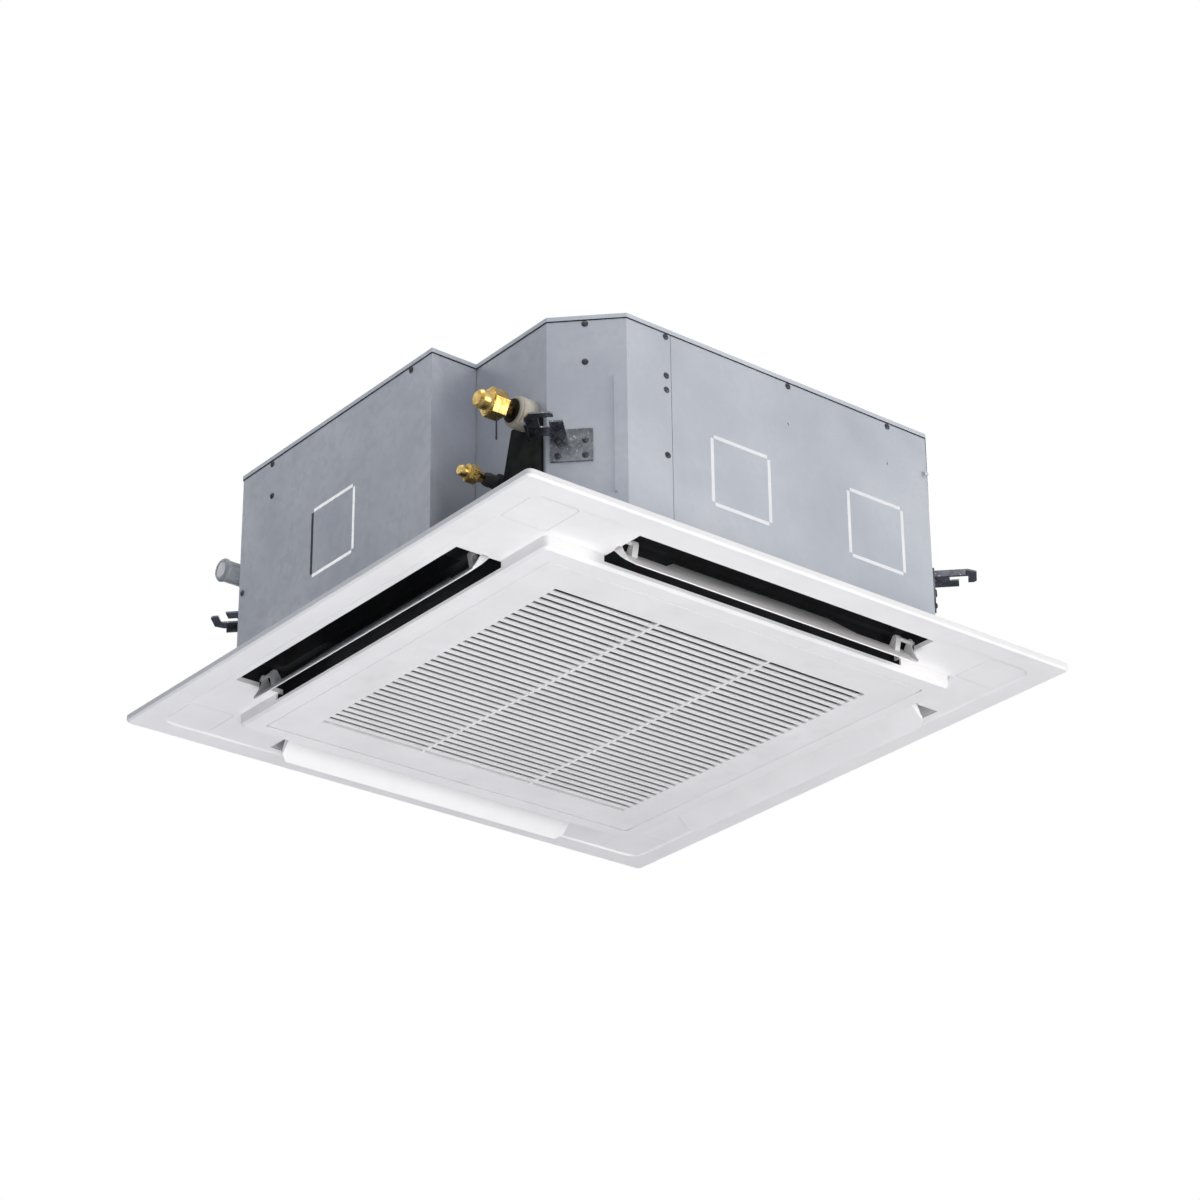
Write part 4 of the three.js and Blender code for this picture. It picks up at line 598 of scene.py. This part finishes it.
# Kept dark, and its holes near black, as painted shade of the space behind the grille.
NET_GREY = WovenNet("net_grey", "35373b", "2d2f33", "0f1012", 0.7, 0.85)
SOCKET_MILK = MilkyPlastic("socket_milk", "e2e5e8", "d6dadd", "aab0b5", 0.3, 0.42, clear=0.75)
NUT_BRASS = BareMetal("nut_brass", "dcc27e", "c2a055", "6f5528", 0.18, 0.32)
SCREW_STEEL = DarkSteel("screw_steel", "4c4f55", "3a3c41", "222326", 0.3, 0.45, bare="9da1a6")
TAPE_WHITE = CellFoam("tape_white", "f6f7f8", "eff0f2", "d9dadb", 0.8, 0.9,
                      bead=1.2, depth=0.05, seam=0.05)
PIPE_SLEEVE = CellFoam("pipe_sleeve", "4a4b4d", "3b3c3e", "1d1d1e", 0.75, 0.9, bead=1.6, depth=0.3)
PIPE_COPPER = BareMetal("pipe_copper", "cf8a66", "bb7552", "7c4a35", 0.25, 0.42)
RISER_COPPER = BareMetal("riser_copper", "cf8a66", "b56f4c", "74452f", 0.25, 0.42, marks="Z", pitch=0.8)
# Its fourth colour is dirt, and also the painted shade between the fins.
COIL_FINS = FinStack("coil_fins", "c8ccd0", "b9bec3", "4c5055", 0.3, 0.45)
COLLAR_FOAM = CellFoam("collar_foam", "d9d4c6", "cdc7b6", "9b9382", 0.8, 0.92, bead=1.4, depth=0.15)
BOARD_GREEN = CircuitLacquer("board_green", "2c6b42", "245a37", "17402a", 0.3, 0.45)
CUT_EDGE = BareMetal("cut_edge", "eceef0", "e1e3e6", "b3b7bb", 0.2, 0.34, tarnish=0.2)
# Dark plastic of the cap tie, also used as painted shade in the screws' recesses and a knock-out's slit.
TIE_DARK_AND_SHADE = MouldedPlastic("tie_dark_and_painted_shade", "3b3f46", "2e3238", "1c1e22", 0.6, 0.8)


def dress_frame() -> None:
    """Give every node of the frame its finish, and shade its curved faces smoothly."""
    finishes: dict[Finish, list[str]] = {
        PANEL_WHITE: ["panel_frame", *(f"corner_cap_{c}" for c in CORNERS)],
        GRILLE_WHITE: ["intake_grille", "grille_latch_left", "grille_latch_right", "float_switch",
                       "terminal_block"],
        FLAP_WHITE: [f"flap_{s}" for s in SIDES],
        CASING_ZINC: ["front_sheet", "right_sheet", "back_sheet", "left_sheet", "pipe_corner_sheet"],
        LID_ZINC: ["top_plate", "control_box", "control_box_cover"],
        SMALL_ZINC: ["grille_hinge_pin_left", "grille_hinge_pin_right", "fan_nut", "motor_shaft",
                     *(f"panel_bolt_{c}" for c in CORNERS)],
        MOTOR_ZINC: ["fan_motor"],
        LUG_STEEL: [f"hanger_{c}" for c in CORNERS],
        PLATE_STEEL: ["motor_plate"],
        DUCT_FOAM: ["air_guide"],
        COVER_BLACK: ["pipe_port_cover"],
        PAN_FOAM: ["drain_pan"],
        LINER_FOAM: ["foam_liner"],
        FAN_GREY: ["turbo_fan"],
        BELL_GREY: ["bell_mouth"],
        PUMP_GREY: ["drain_pump"],
        MOTOR_BLACK: [f"flap_motor_{s}" for s in SIDES],
        FLOAT_BLUE: ["float"],
        NET_GREY: ["air_filter"],
        SOCKET_MILK: ["drain_port"],
        NUT_BRASS: ["gas_flare_nut", "liquid_flare_nut"],
        PIPE_COPPER: ["gas_pipe", "liquid_pipe"],
        RISER_COPPER: ["gas_header", "coil_end_left", "coil_end_front"],
        COIL_FINS: ["heat_exchanger"],
        COLLAR_FOAM: ["gas_pipe_collar"],
        BOARD_GREEN: ["circuit_board"],
    }
    left = set(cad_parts)
    for finish, names in finishes.items():
        material = finish.material()
        for name in names:
            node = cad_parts[name]
            node.data.materials.clear()
            node.data.materials.append(material)
            left.discard(name)
        log.info("%s on %d parts", finish.name, len(names))
    if left:
        raise ValueError(f"parts with no finish: {sorted(left)}")
    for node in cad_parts.values():
        shade(node)


# ------------------------------------------------------------------ mesh making


def shade(piece: bpy.types.Object, bend: float = 32.0) -> None:
    """Shade a piece's curved faces smoothly and keep its folds sharp.

    Args:
        piece: the piece, whose own mesh stays as it is.
        bend: the angle in degrees from which a fold counts as sharp.
    """
    weld = piece.modifiers.new("weld", "WELD")
    weld.merge_threshold = WELD_REACH
    split = piece.modifiers.new("folds", "EDGE_SPLIT")
    split.split_angle = math.radians(bend)
    split.use_edge_sharp = False
    for polygon in piece.data.polygons:
        polygon.use_smooth = True


def rectangle(left: float, right: float, low: float, high: float) -> Outline:
    """List the corners of a rectangle, counted from its lower left one.

    Args:
        left: its left edge.
        right: its right edge.
        low: its lower edge.
        high: its upper edge.

    Returns:
        The four corners.
    """
    return [(left, low), (right, low), (right, high), (left, high)]


def facing(spot: Point, outwards: Point, up: Point = (0, 0, 1)) -> Matrix:
    """Place a form on a surface, with its Z axis along the surface's outward direction.

    Args:
        spot: the point in millimetres.
        outwards: the direction out of the surface.
        up: the direction that the form's Y axis follows.

    Returns:
        The placing matrix, in metres.
    """
    z = Vector(outwards).normalized()
    x = Vector(up).cross(z).normalized()
    y = z.cross(x)
    turn = Matrix((x, y, z)).transposed().to_4x4()
    return Matrix.Translation(Vector(spot) * MM) @ turn


class Maker:
    """Collects simple closed forms into one mesh."""

    def __init__(self) -> None:
        """Start an empty mesh."""
        self.mesh = bmesh.new()

    def turned(self, profile: Sequence[tuple[float, float]], place: Matrix, sides: int = 24) -> None:
        """Add a turned form.

        Args:
            profile: radius and height of each point, in millimetres, from the axis round to the axis.
            place: where the form's own origin and Z axis go.
            sides: how many sides it has.
        """
        rings: list[list[bmesh.types.BMVert]] = []
        for radius, height in profile:
            if radius < ON_AXIS:
                rings.append([self.mesh.verts.new(place @ Vector((0, 0, height * MM)))])
                continue
            ring = []
            for i in range(sides):
                angle = 2 * math.pi * i / sides
                spot = Vector((radius * math.cos(angle), radius * math.sin(angle), height)) * MM
                ring.append(self.mesh.verts.new(place @ spot))
            rings.append(ring)
        for low, high in zip(rings, rings[1:]):
            for i in range(sides):
                j = (i + 1) % sides
                corners = [low[i % len(low)], low[j % len(low)], high[j % len(high)], high[i % len(high)]]
                unique = list(dict.fromkeys(corners))
                if len(unique) >= 3:
                    self.mesh.faces.new(unique)

    def prism(self, outline: Sequence[tuple[float, float]], low: float, high: float, place: Matrix) -> None:
        """Add a flat outline raised between two heights.

        Args:
            outline: the outline's points in millimetres, in order.
            low: the lower height.
            high: the upper height.
            place: where the form's own origin and axes go.
        """
        bottom = [self.mesh.verts.new(place @ (Vector((x, y, low)) * MM)) for x, y in outline]
        top = [self.mesh.verts.new(place @ (Vector((x, y, high)) * MM)) for x, y in outline]
        self.mesh.faces.new(bottom[::-1])
        self.mesh.faces.new(top)
        for i in range(len(outline)):
            j = (i + 1) % len(outline)
            self.mesh.faces.new([bottom[i], bottom[j], top[j], top[i]])

    def piece(self, name: str, finish: bpy.types.Material, body: str = "casing") -> bpy.types.Object:
        """Close the mesh and make it a piece that moves with a body.

        Args:
            name: the piece's name.
            finish: its material.
            body: the body it rides on.

        Returns:
            The new piece.
        """
        bmesh.ops.recalc_face_normals(self.mesh, faces=self.mesh.faces)
        data = bpy.data.meshes.new(name)
        self.mesh.to_mesh(data)
        self.mesh.free()
        data.materials.append(finish)
        piece = bpy.data.objects.new(name, data)
        bpy.context.scene.collection.objects.link(piece)
        shade(piece)
        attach(piece, body)
        log.info("%s: %d faces on %s", name, len(data.polygons), body)
        return piece


# ------------------------------------------------------------------ small parts


@dataclass
class Fasteners:
    """The screws that hold the casing's sheets, lid and hangers together."""

    head: float = 3.6
    rise: float = 1.9
    washer: float = 4.6
    brim: float = 0.5  # how far the washer stands out
    sunk: float = 0.4  # how deep a screw starts below its seat
    recess: float = 0.55  # half the width of the cross in the head
    sides: int = 20
    half: float = 420.0  # half the casing's width
    corner: float = 691.0  # X and Y of a point on a corner sheet add up to this
    flange: float = 491.4  # from the middle to the face of a hanger's flange
    top: float = 308.8
    upper: float = 251.0
    lower: float = 130.0
    column: float = -204.0  # the front sheet's seam
    column_heights: tuple[float, ...] = (249.5, 228.0, 130.0)
    front_lid: tuple[float, ...] = (13.0, 198.0)
    left_lid: tuple[float, ...] = (196.0, -142.0)
    left_single: tuple[float, float] = (194.0, 257.0)
    near: float = 310.0
    step: float = 180.0  # between the lid's screws on the two far sides
    end: float = 262.0  # from the middle of a side to the screws at its ends
    flange_step: float = 18.0
    flange_heights: tuple[float, ...] = (111.0, 133.0)
    near_flange: float = -32.0  # the near hanger stands beside the middle of its corner
    seats: list[tuple[Point, Point]] = field(default_factory=list)

    def gather(self) -> None:
        """List where the screws sit and which way they face."""
        front, left, top = -self.half, -self.half, self.top
        row, ends, heights = (-self.step, 0, self.step), (-self.end, self.end), (self.upper, self.lower)
        self.seats += [((self.column, front, z), FRONT) for z in (top, *self.column_heights)]
        self.seats += [((x, front, top), FRONT) for x in self.front_lid]
        self.seats += [((left, y, top), LEFT) for y in self.left_lid]
        self.seats.append(((left, *self.left_single), LEFT))
        self.seats += [((-self.near, self.near - self.corner, z), NEAR) for z in (top, self.upper)]
        self.seats += [((self.half, y, top), RIGHT) for y in row]
        self.seats += [((x, self.half, top), BACK) for x in row]
        self.seats += [((self.half, y, z), RIGHT) for y in ends for z in heights]
        self.seats += [((x, self.half, z), BACK) for x in ends for z in heights]
        self.seats.append(((left, self.end, self.lower), LEFT))
        for quarter in range(4):
            middle = self.near_flange if quarter == NEAR_CORNER else 0
            for along in (middle - self.flange_step, middle + self.flange_step):
                self.seats += [self.on_flange(quarter, along, z) for z in self.flange_heights]

    def on_flange(self, quarter: int, along: float, z: float) -> tuple[Point, Point]:
        """Find a seat on a hanger's flange.

        Args:
            quarter: which corner, counted from the front right one.
            along: the place along the corner in millimetres.
            z: the height in millimetres.

        Returns:
            The point and the direction that the flange faces.
        """
        angle = math.radians(-135 + 90 * quarter)
        side, out = math.cos(angle), math.sin(angle)
        spot = (along * side - self.flange * out, along * out + self.flange * side, z)
        return spot, (-out, side, 0)

    def screw(self, maker: Maker, place: Matrix) -> None:
        """Add one pan-head screw with its flange.

        Args:
            maker: the mesh it goes into.
            place: where its seat is.
        """
        head, rise, brim = self.head, self.rise, self.brim
        maker.turned([
            (0, -self.sunk), (self.washer, -self.sunk), (self.washer, brim), (head, brim + 0.2),
            (head - 0.1, rise * 0.6), (head * 0.72, rise), (head * 0.3, rise + 0.25), (0, rise + 0.28),
        ], place, self.sides)

    def cross(self, maker: Maker, place: Matrix) -> None:
        """Add a dark cross on one screw's head, painted shade of its cross recess.

        Args:
            maker: the mesh it goes into.
            place: where the screw's seat is.
        """
        arm, width, top = self.head * 0.62, self.recess, self.rise + 0.34
        # Painted shade: a dark cross raised on the head stands for its shaded recess.
        for a, b in ((arm, width), (width, arm)):
            maker.prism(rectangle(-a, a, -b, b), self.rise * 0.6, top, place)

    def build(self) -> None:
        """Make the screws as one piece and the painted shade of their cross recesses as another."""
        self.gather()
        heads, recesses = Maker(), Maker()
        for spot, outwards in self.seats:
            place = facing(spot, outwards)
            self.screw(heads, place)
            self.cross(recesses, place)
        heads.piece("casing_screws", SCREW_STEEL.material())
        recesses.piece("screw_recess_shade", TIE_DARK_AND_SHADE.material())


@dataclass
class PipeCorner:
    """Small parts at the pipes: grommet, sleeve, the gas joint's soft ring, cap tie, and the sheet's fold."""

    wall: float = -346.0
    liquid_y: float = -243.0
    liquid_z: float = 116.0
    gas_y: float = -308.0
    gas_z: float = 188.0
    gas_bore: float = 8.1
    collar: float = 25.3  # from the wall to the end of the pipe's collar
    collar_radius: float = 20.8
    nut: float = 31.0  # from the wall to the gas nut
    ring_radius: float = 16.8
    tie_x: float = -400.0
    tie_low: float = 136.0
    fold_x: float = -282.5
    fold_y: float = -408.5

    def grommet(self) -> None:
        """Make the rubber grommet round the liquid pipe."""
        maker = Maker()
        maker.turned(GROMMET_PROFILE, facing((self.wall, self.liquid_y, self.liquid_z), LEFT), 28)
        maker.piece("pipe_grommet", SEAL_AND_SHADOW_BLACK.material())

    def ring(self) -> None:
        """Make the soft end of the gas pipe's sleeve and the dark ring before the joint."""
        place = facing((self.wall, self.gas_y, self.gas_z), LEFT)
        soft, ring = Maker(), Maker()
        bore, wide, narrow = self.gas_bore, self.collar_radius, self.ring_radius
        start, middle, end = self.collar + 0.1, (self.collar + self.nut) / 2, self.nut - 0.2
        soft.turned([
            (bore, start), (wide, start), (wide - 0.4, self.collar + 1.4), (wide - 2.2, middle - 0.1),
            (bore, middle - 0.1), (bore, start),
        ], place, 32)
        ring.turned([
            (bore, middle), (narrow - 1.2, middle), (narrow, middle + 0.9), (narrow - 1.0, end),
            (bore, end), (bore, middle),
        ], place, 32)
        soft.piece("collar_end", COLLAR_FOAM.material())
        ring.piece("gas_joint_ring", COVER_BLACK.material())

    def sleeve(self) -> None:
        """Make the foam sleeve on the liquid pipe."""
        maker = Maker()
        maker.turned(SLEEVE_PROFILE, facing((self.wall, self.liquid_y, self.liquid_z), LEFT), 24)
        maker.piece("liquid_pipe_sleeve", PIPE_SLEEVE.material())

    def tie(self) -> None:
        """Make the thin tie that hangs from the gas joint's cap."""
        maker = Maker()
        place = Matrix.Translation(Vector((self.tie_x, self.gas_y, self.tie_low)) * MM)
        maker.turned(TIE_PROFILE, place, 12)
        maker.piece("cap_tie", TIE_DARK_AND_SHADE.material())

    def fold(self) -> None:
        """Make the stiffening fold on the near corner's sheet."""
        maker = Maker()
        place = facing((self.fold_x, self.fold_y, 0), NEAR)
        for half, low, high, bottom, top in FOLD_STEPS:
            maker.prism(rectangle(-half, half, low, high), bottom, top, place)
        maker.piece("corner_fold", CASING_ZINC.material())

    def build(self) -> None:
        """Make the parts in order."""
        self.grommet()
        self.sleeve()
        self.ring()
        self.tie()
        self.fold()


@dataclass
class Trim:
    """Strips and clips on the casing: the dark strip under the lid's edge, which is painted shadow, and the
    wire clip.
    """

    half: float = 420.0
    flat: float = 271.0  # half the straight length of a side, between the cut corners
    recess_x: float = -346.0
    recess_y: float = -190.0
    lip: float = 315.0  # the lower edge of the lid's turned-down edge
    shadow_half: float = 0.7
    shadow_top: float = 0.6
    shadow_sunk: float = 0.2
    shadow_out: float = 0.75
    clip_x: float = 266.0
    clip_z: float = 255.0

    def outline(self) -> Outline:
        """List the casing's corners seen from above."""
        h, f = self.half, self.flat
        return [(-f, -h), (f, -h), (h, -f), (h, f), (f, h), (-f, h), (-h, f), (-h, self.recess_y),
                (self.recess_x, self.recess_y), (self.recess_x, -h - f - self.recess_x)]

    def painted_lid_shadow(self) -> None:
        """Make the dark strip under the lid's edge, painted shadow of the lid's turned-down edge."""
        maker = Maker()
        corners = self.outline()
        for start, end in zip(corners, corners[1:] + corners[:1]):
            run = Vector((end[0] - start[0], end[1] - start[1], 0))
            middle = ((start[0] + end[0]) / 2, (start[1] + end[1]) / 2, self.lip - self.shadow_half)
            reach = run.length / 2
            strip = rectangle(-reach, reach, -self.shadow_half, self.shadow_top)
            maker.prism(strip, -self.shadow_sunk, self.shadow_out, facing(middle, (run.y, -run.x, 0)))
        # The strip is painted shadow: a dark band where the lid's edge shades the sheets.
        maker.piece("lid_painted_shadow", SEAL_AND_SHADOW_BLACK.material())

    def clip(self) -> None:
        """Make the wire clip at the right end of the front side."""
        maker = Maker()
        place = facing((self.clip_x, -self.half, self.clip_z), FRONT)
        for outline, bottom, top in CLIP_LAYERS:
            maker.prism(outline, bottom, top, place)
        maker.piece("wire_clip", SMALL_ZINC.material())

    def build(self) -> None:
        """Make the trim in order."""
        self.painted_lid_shadow()
        self.clip()


@dataclass
class Outlets:
    """White linings on the outer walls of the outlets, and the cheeks at their ends."""

    half: float = 262.0  # half an outlet's length
    outer: float = 426.5
    duct: float = 427.0
    depth: float = 79.0  # from the outlet's outer wall to its inner one
    lining: float = 0.9
    lining_low: float = -4.6
    lining_high: float = 21.0
    blade: float = 258.0
    blade_room: float = 0.7
    wall_room: float = 0.05
    axis: float = 382.0
    pin_room: float = 5.5
    cheek_low: float = -7.9
    cheek_high: float = -1.0

    def side(self, maker: Maker, quarter: int) -> None:
        """Add the lining and the two cheeks of one outlet.

        Args:
            maker: the mesh they go into.
            quarter: which side, counted from the front.
        """
        turn = Matrix.Rotation(math.pi / 2 * quarter, 4, "Z")
        reach = self.half + self.lining
        wall = rectangle(-reach, reach, -self.duct, self.lining - self.duct)
        maker.prism(wall, self.lining_low, self.lining_high, turn)
        spans = ((self.axis + self.pin_room, self.outer - 0.1),
                 (self.outer - self.depth, self.axis - self.pin_room))
        for end in (-1, 1):
            left, right = sorted((end * (self.blade + self.blade_room), end * (self.half - self.wall_room)))
            for low, high in spans:
                maker.prism(rectangle(left, right, -high, -low), self.cheek_low, self.cheek_high, turn)

    def build(self) -> None:
        """Make the linings of the four outlets as one piece."""
        maker = Maker()
        for quarter in range(4):
            self.side(maker, quarter)
        maker.piece("outlet_lining", PANEL_WHITE.material())


@dataclass
class GrilleSeal:
    """Thin white lip on the wall of the opening that narrows the gap round the grille."""

    opening: float = 329.5
    lap: float = 0.1
    grille: float = 328.0
    room: float = 0.4
    low: float = -26.5
    high: float = -25.0
    reach: float = 314.0

    def build(self) -> None:
        """Make the lip along the front and both sides, clear of the hinges."""
        maker = Maker()
        inner, outer = self.grille + self.room, self.opening + self.lap
        strips = [rectangle(-outer, -inner, -self.reach, self.reach),
                  rectangle(inner, outer, -self.reach, self.reach),
                  rectangle(-self.reach, self.reach, -outer, -inner)]
        for strip in strips:
            maker.prism(strip, self.low, self.high, Matrix())
        maker.piece("opening_lip", GRILLE_WHITE.material())


@dataclass
class Knockouts:
    """Pale tape over the slits of the front knock-outs, and bright cut edges round the left one."""

    half: float = 420.0
    width: float = 100.0
    height: float = 101.0
    slit: float = 3.5
    lap: float = 0.9  # how far a strip covers the sheet beside its slit
    bridge: float = 8.0  # the sheet left between two slits
    past: float = 5.0  # how far a strip runs on over the bridges
    level: float = 134.0
    raised: float = 4.0  # the left knock-out is this much higher
    front: tuple[float, float] = (-77.0, 167.0)
    left: float = 38.0
    sunk: float = 0.05
    tape_rise: float = 0.16
    edge_rise: float = 0.12
    gap_rise: float = 0.1

    def strips(self) -> list[Outline]:
        """List the outlines of one knock-out's four strips.

        Returns:
            The strips below, above, and at its two sides.
        """
        w, h, s = self.width / 2, self.height / 2, self.slit / 2 + self.lap
        a, b = w - self.bridge + self.past, h - self.bridge + self.past
        spans = ((0, -h, a, s), (0, h, a, s), (-w, 0, s, b), (w, 0, s, b))
        return [rectangle(x - dx, x + dx, y - dy, y + dy) for x, y, dx, dy in spans]

    def build(self) -> None:
        """Make the tape, the bright edges, and a dark strip over the left one's far slit as painted shade."""
        tape, edges, gap = Maker(), Maker(), Maker()
        for x in self.front:
            place = facing((x, -self.half, self.level), FRONT)
            for outline in self.strips():
                tape.prism(outline, -self.sunk, self.tape_rise, place)
        place = facing((-self.half, self.left, self.level + self.raised), LEFT)
        below, above, far, near = self.strips()
        for outline in (below, above, near):
            edges.prism(outline, -self.sunk, self.edge_rise, place)
        # Painted shade: a dark strip over the left knock-out's far slit.
        gap.prism(far, -self.sunk, self.gap_rise, place)
        tape.piece("knockout_tape", TAPE_WHITE.material())
        edges.piece("knockout_edges", CUT_EDGE.material())
        gap.piece("knockout_gap_shade", TIE_DARK_AND_SHADE.material())


# ------------------------------------------------------------------ studio


@dataclass(frozen=True)
class Lamp:
    """A square soft lamp that looks at the object; its level is how bright it makes a white surface."""

    name: str
    spot: Point
    size: float
    level: float
    tint: Point = (1.0, 1.0, 1.0)

    def build(self) -> None:
        """Add the lamp to the scene."""
        data = bpy.data.lights.new(self.name, "AREA")
        data.color = self.tint
        data.size = self.size
        data.energy = math.pi ** 2 * Vector(self.spot).length_squared * self.level
        lamp = bpy.data.objects.new(self.name, data)
        lamp.location = self.spot
        lamp.rotation_euler = (-Vector(self.spot)).to_track_quat("-Z", "Y").to_euler()
        bpy.context.scene.collection.objects.link(lamp)


LAMPS = (
    Lamp("key", (2.9, -5.4, -0.6), 3.0, 0.5, (1.0, 0.97, 0.91)),
    Lamp("low", (-0.3, -0.1, -3.6), 2.6, 1.04),
    Lamp("fill", (-1.6, -3.4, -2.4), 2.2, 0.3),
    Lamp("top", (-1.5, -1.0, 4.5), 3.0, 0.25),
)


@dataclass
class Studio:
    """Plain pale floor, soft lamps and the camera at the photograph's angle."""

    floor_level: float = -3.6
    floor_reach: float = 70.0
    floor_tone: str = "c8c9cb"
    floor_glow: float = 0.5  # shown to the camera only, so that the floor looks white
    world_tint: Colour = (0.78, 0.82, 1.0, 1.0)
    world_level: float = 0.3
    eye: Point = (-2.66633, -3.33305, -1.94073)
    azimuth: float = -38.846
    elevation: float = -26.017
    roll: float = -0.588
    focal: float = 3318.91
    frame_pixels: float = 1200.0
    sensor: float = 36.0
    far: float = 200.0

    def camera(self) -> None:
        """Set the camera from the photograph's fitted viewing angle."""
        a, e, r = (math.radians(v) for v in (self.azimuth, self.elevation, self.roll))
        back = Vector((math.sin(a) * math.cos(e), -math.cos(a) * math.cos(e), math.sin(e)))
        right = (-back).cross(Vector((0, 0, 1))).normalized()
        up = right.cross(-back)
        x = right * math.cos(r) + up * math.sin(r)
        y = up * math.cos(r) - right * math.sin(r)
        data = bpy.data.cameras.new("camera")
        data.sensor_width = self.sensor
        data.sensor_fit = "HORIZONTAL"
        data.lens = self.focal / self.frame_pixels * self.sensor
        data.clip_end = self.far
        camera = bpy.data.objects.new("camera", data)
        turn = Matrix((x, y, back)).transposed().to_4x4()
        camera.matrix_world = Matrix.Translation(Vector(self.eye)) @ turn
        bpy.context.scene.collection.objects.link(camera)
        bpy.context.scene.camera = camera

    def world(self) -> None:
        """Light the scene evenly, and show plain white behind the object and in its reflections."""
        world = bpy.data.worlds.new("studio")
        world.use_nodes = True
        bpy.context.scene.world = world
        tree = world.node_tree
        tree.nodes.clear()
        soft = tree.nodes.new("ShaderNodeBackground")
        soft.inputs["Color"].default_value = self.world_tint
        soft.inputs["Strength"].default_value = self.world_level
        plain = tree.nodes.new("ShaderNodeBackground")
        plain.inputs["Color"].default_value = WHITE
        plain.inputs["Strength"].default_value = 1.0
        rays = tree.nodes.new("ShaderNodeLightPath")
        seen = rays.outputs["Is Camera Ray"]
        for kind in ("Is Glossy Ray", "Is Transmission Ray"):
            either = tree.nodes.new("ShaderNodeMath")
            either.operation = "MAXIMUM"
            tree.links.new(seen, either.inputs[0])
            tree.links.new(rays.outputs[kind], either.inputs[1])
            seen = either.outputs[0]
        mix = tree.nodes.new("ShaderNodeMixShader")
        output = tree.nodes.new("ShaderNodeOutputWorld")
        tree.links.new(seen, mix.inputs[0])
        tree.links.new(soft.outputs[0], mix.inputs[1])
        tree.links.new(plain.outputs[0], mix.inputs[2])
        tree.links.new(mix.outputs[0], output.inputs["Surface"])

    def floor(self) -> None:
        """Lay a pale floor far below the object, which keeps the object's shadow."""
        reach = self.floor_reach
        data = bpy.data.meshes.new("floor")
        corners = [(x, y, 0) for x, y in rectangle(-reach, reach, -reach, reach)]
        data.from_pydata(corners, [], [(0, 1, 2, 3)])
        floor = bpy.data.objects.new("floor", data)
        floor.location.z = self.floor_level
        bpy.context.scene.collection.objects.link(floor)
        material = bpy.data.materials.new("floor")
        material.use_nodes = True
        tree = material.node_tree
        tree.nodes.clear()
        matt = tree.nodes.new("ShaderNodeBsdfDiffuse")
        matt.inputs["Color"].default_value = tone(self.floor_tone)
        glow = tree.nodes.new("ShaderNodeEmission")
        glow.inputs["Color"].default_value = WHITE
        rays = tree.nodes.new("ShaderNodeLightPath")
        strength = tree.nodes.new("ShaderNodeMath")
        strength.operation = "MULTIPLY"
        strength.inputs[1].default_value = self.floor_glow
        total = tree.nodes.new("ShaderNodeAddShader")
        output = tree.nodes.new("ShaderNodeOutputMaterial")
        tree.links.new(rays.outputs["Is Camera Ray"], strength.inputs[0])
        tree.links.new(strength.outputs[0], glow.inputs["Strength"])
        tree.links.new(matt.outputs[0], total.inputs[0])
        tree.links.new(glow.outputs[0], total.inputs[1])
        tree.links.new(total.outputs[0], output.inputs["Surface"])
        data.materials.append(material)

    def build(self) -> None:
        """Set up camera, world, lamps and floor."""
        bpy.context.scene.view_settings.view_transform = "Standard"
        self.camera()
        self.world()
        for lamp in LAMPS:
            lamp.build()
        self.floor()
        log.info("studio is set")


def record_sizes() -> None:
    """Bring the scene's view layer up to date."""
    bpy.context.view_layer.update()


def main() -> None:
    """Build the studio, dress the frame and add the small parts."""
    logging.basicConfig(level=logging.INFO, format="%(message)s")
    Studio().build()
    dress_frame()
    Fasteners().build()
    PipeCorner().build()
    Trim().build()
    Outlets().build()
    GrilleSeal().build()
    Knockouts().build()
    record_sizes()


if __name__ == "__main__":
    main()
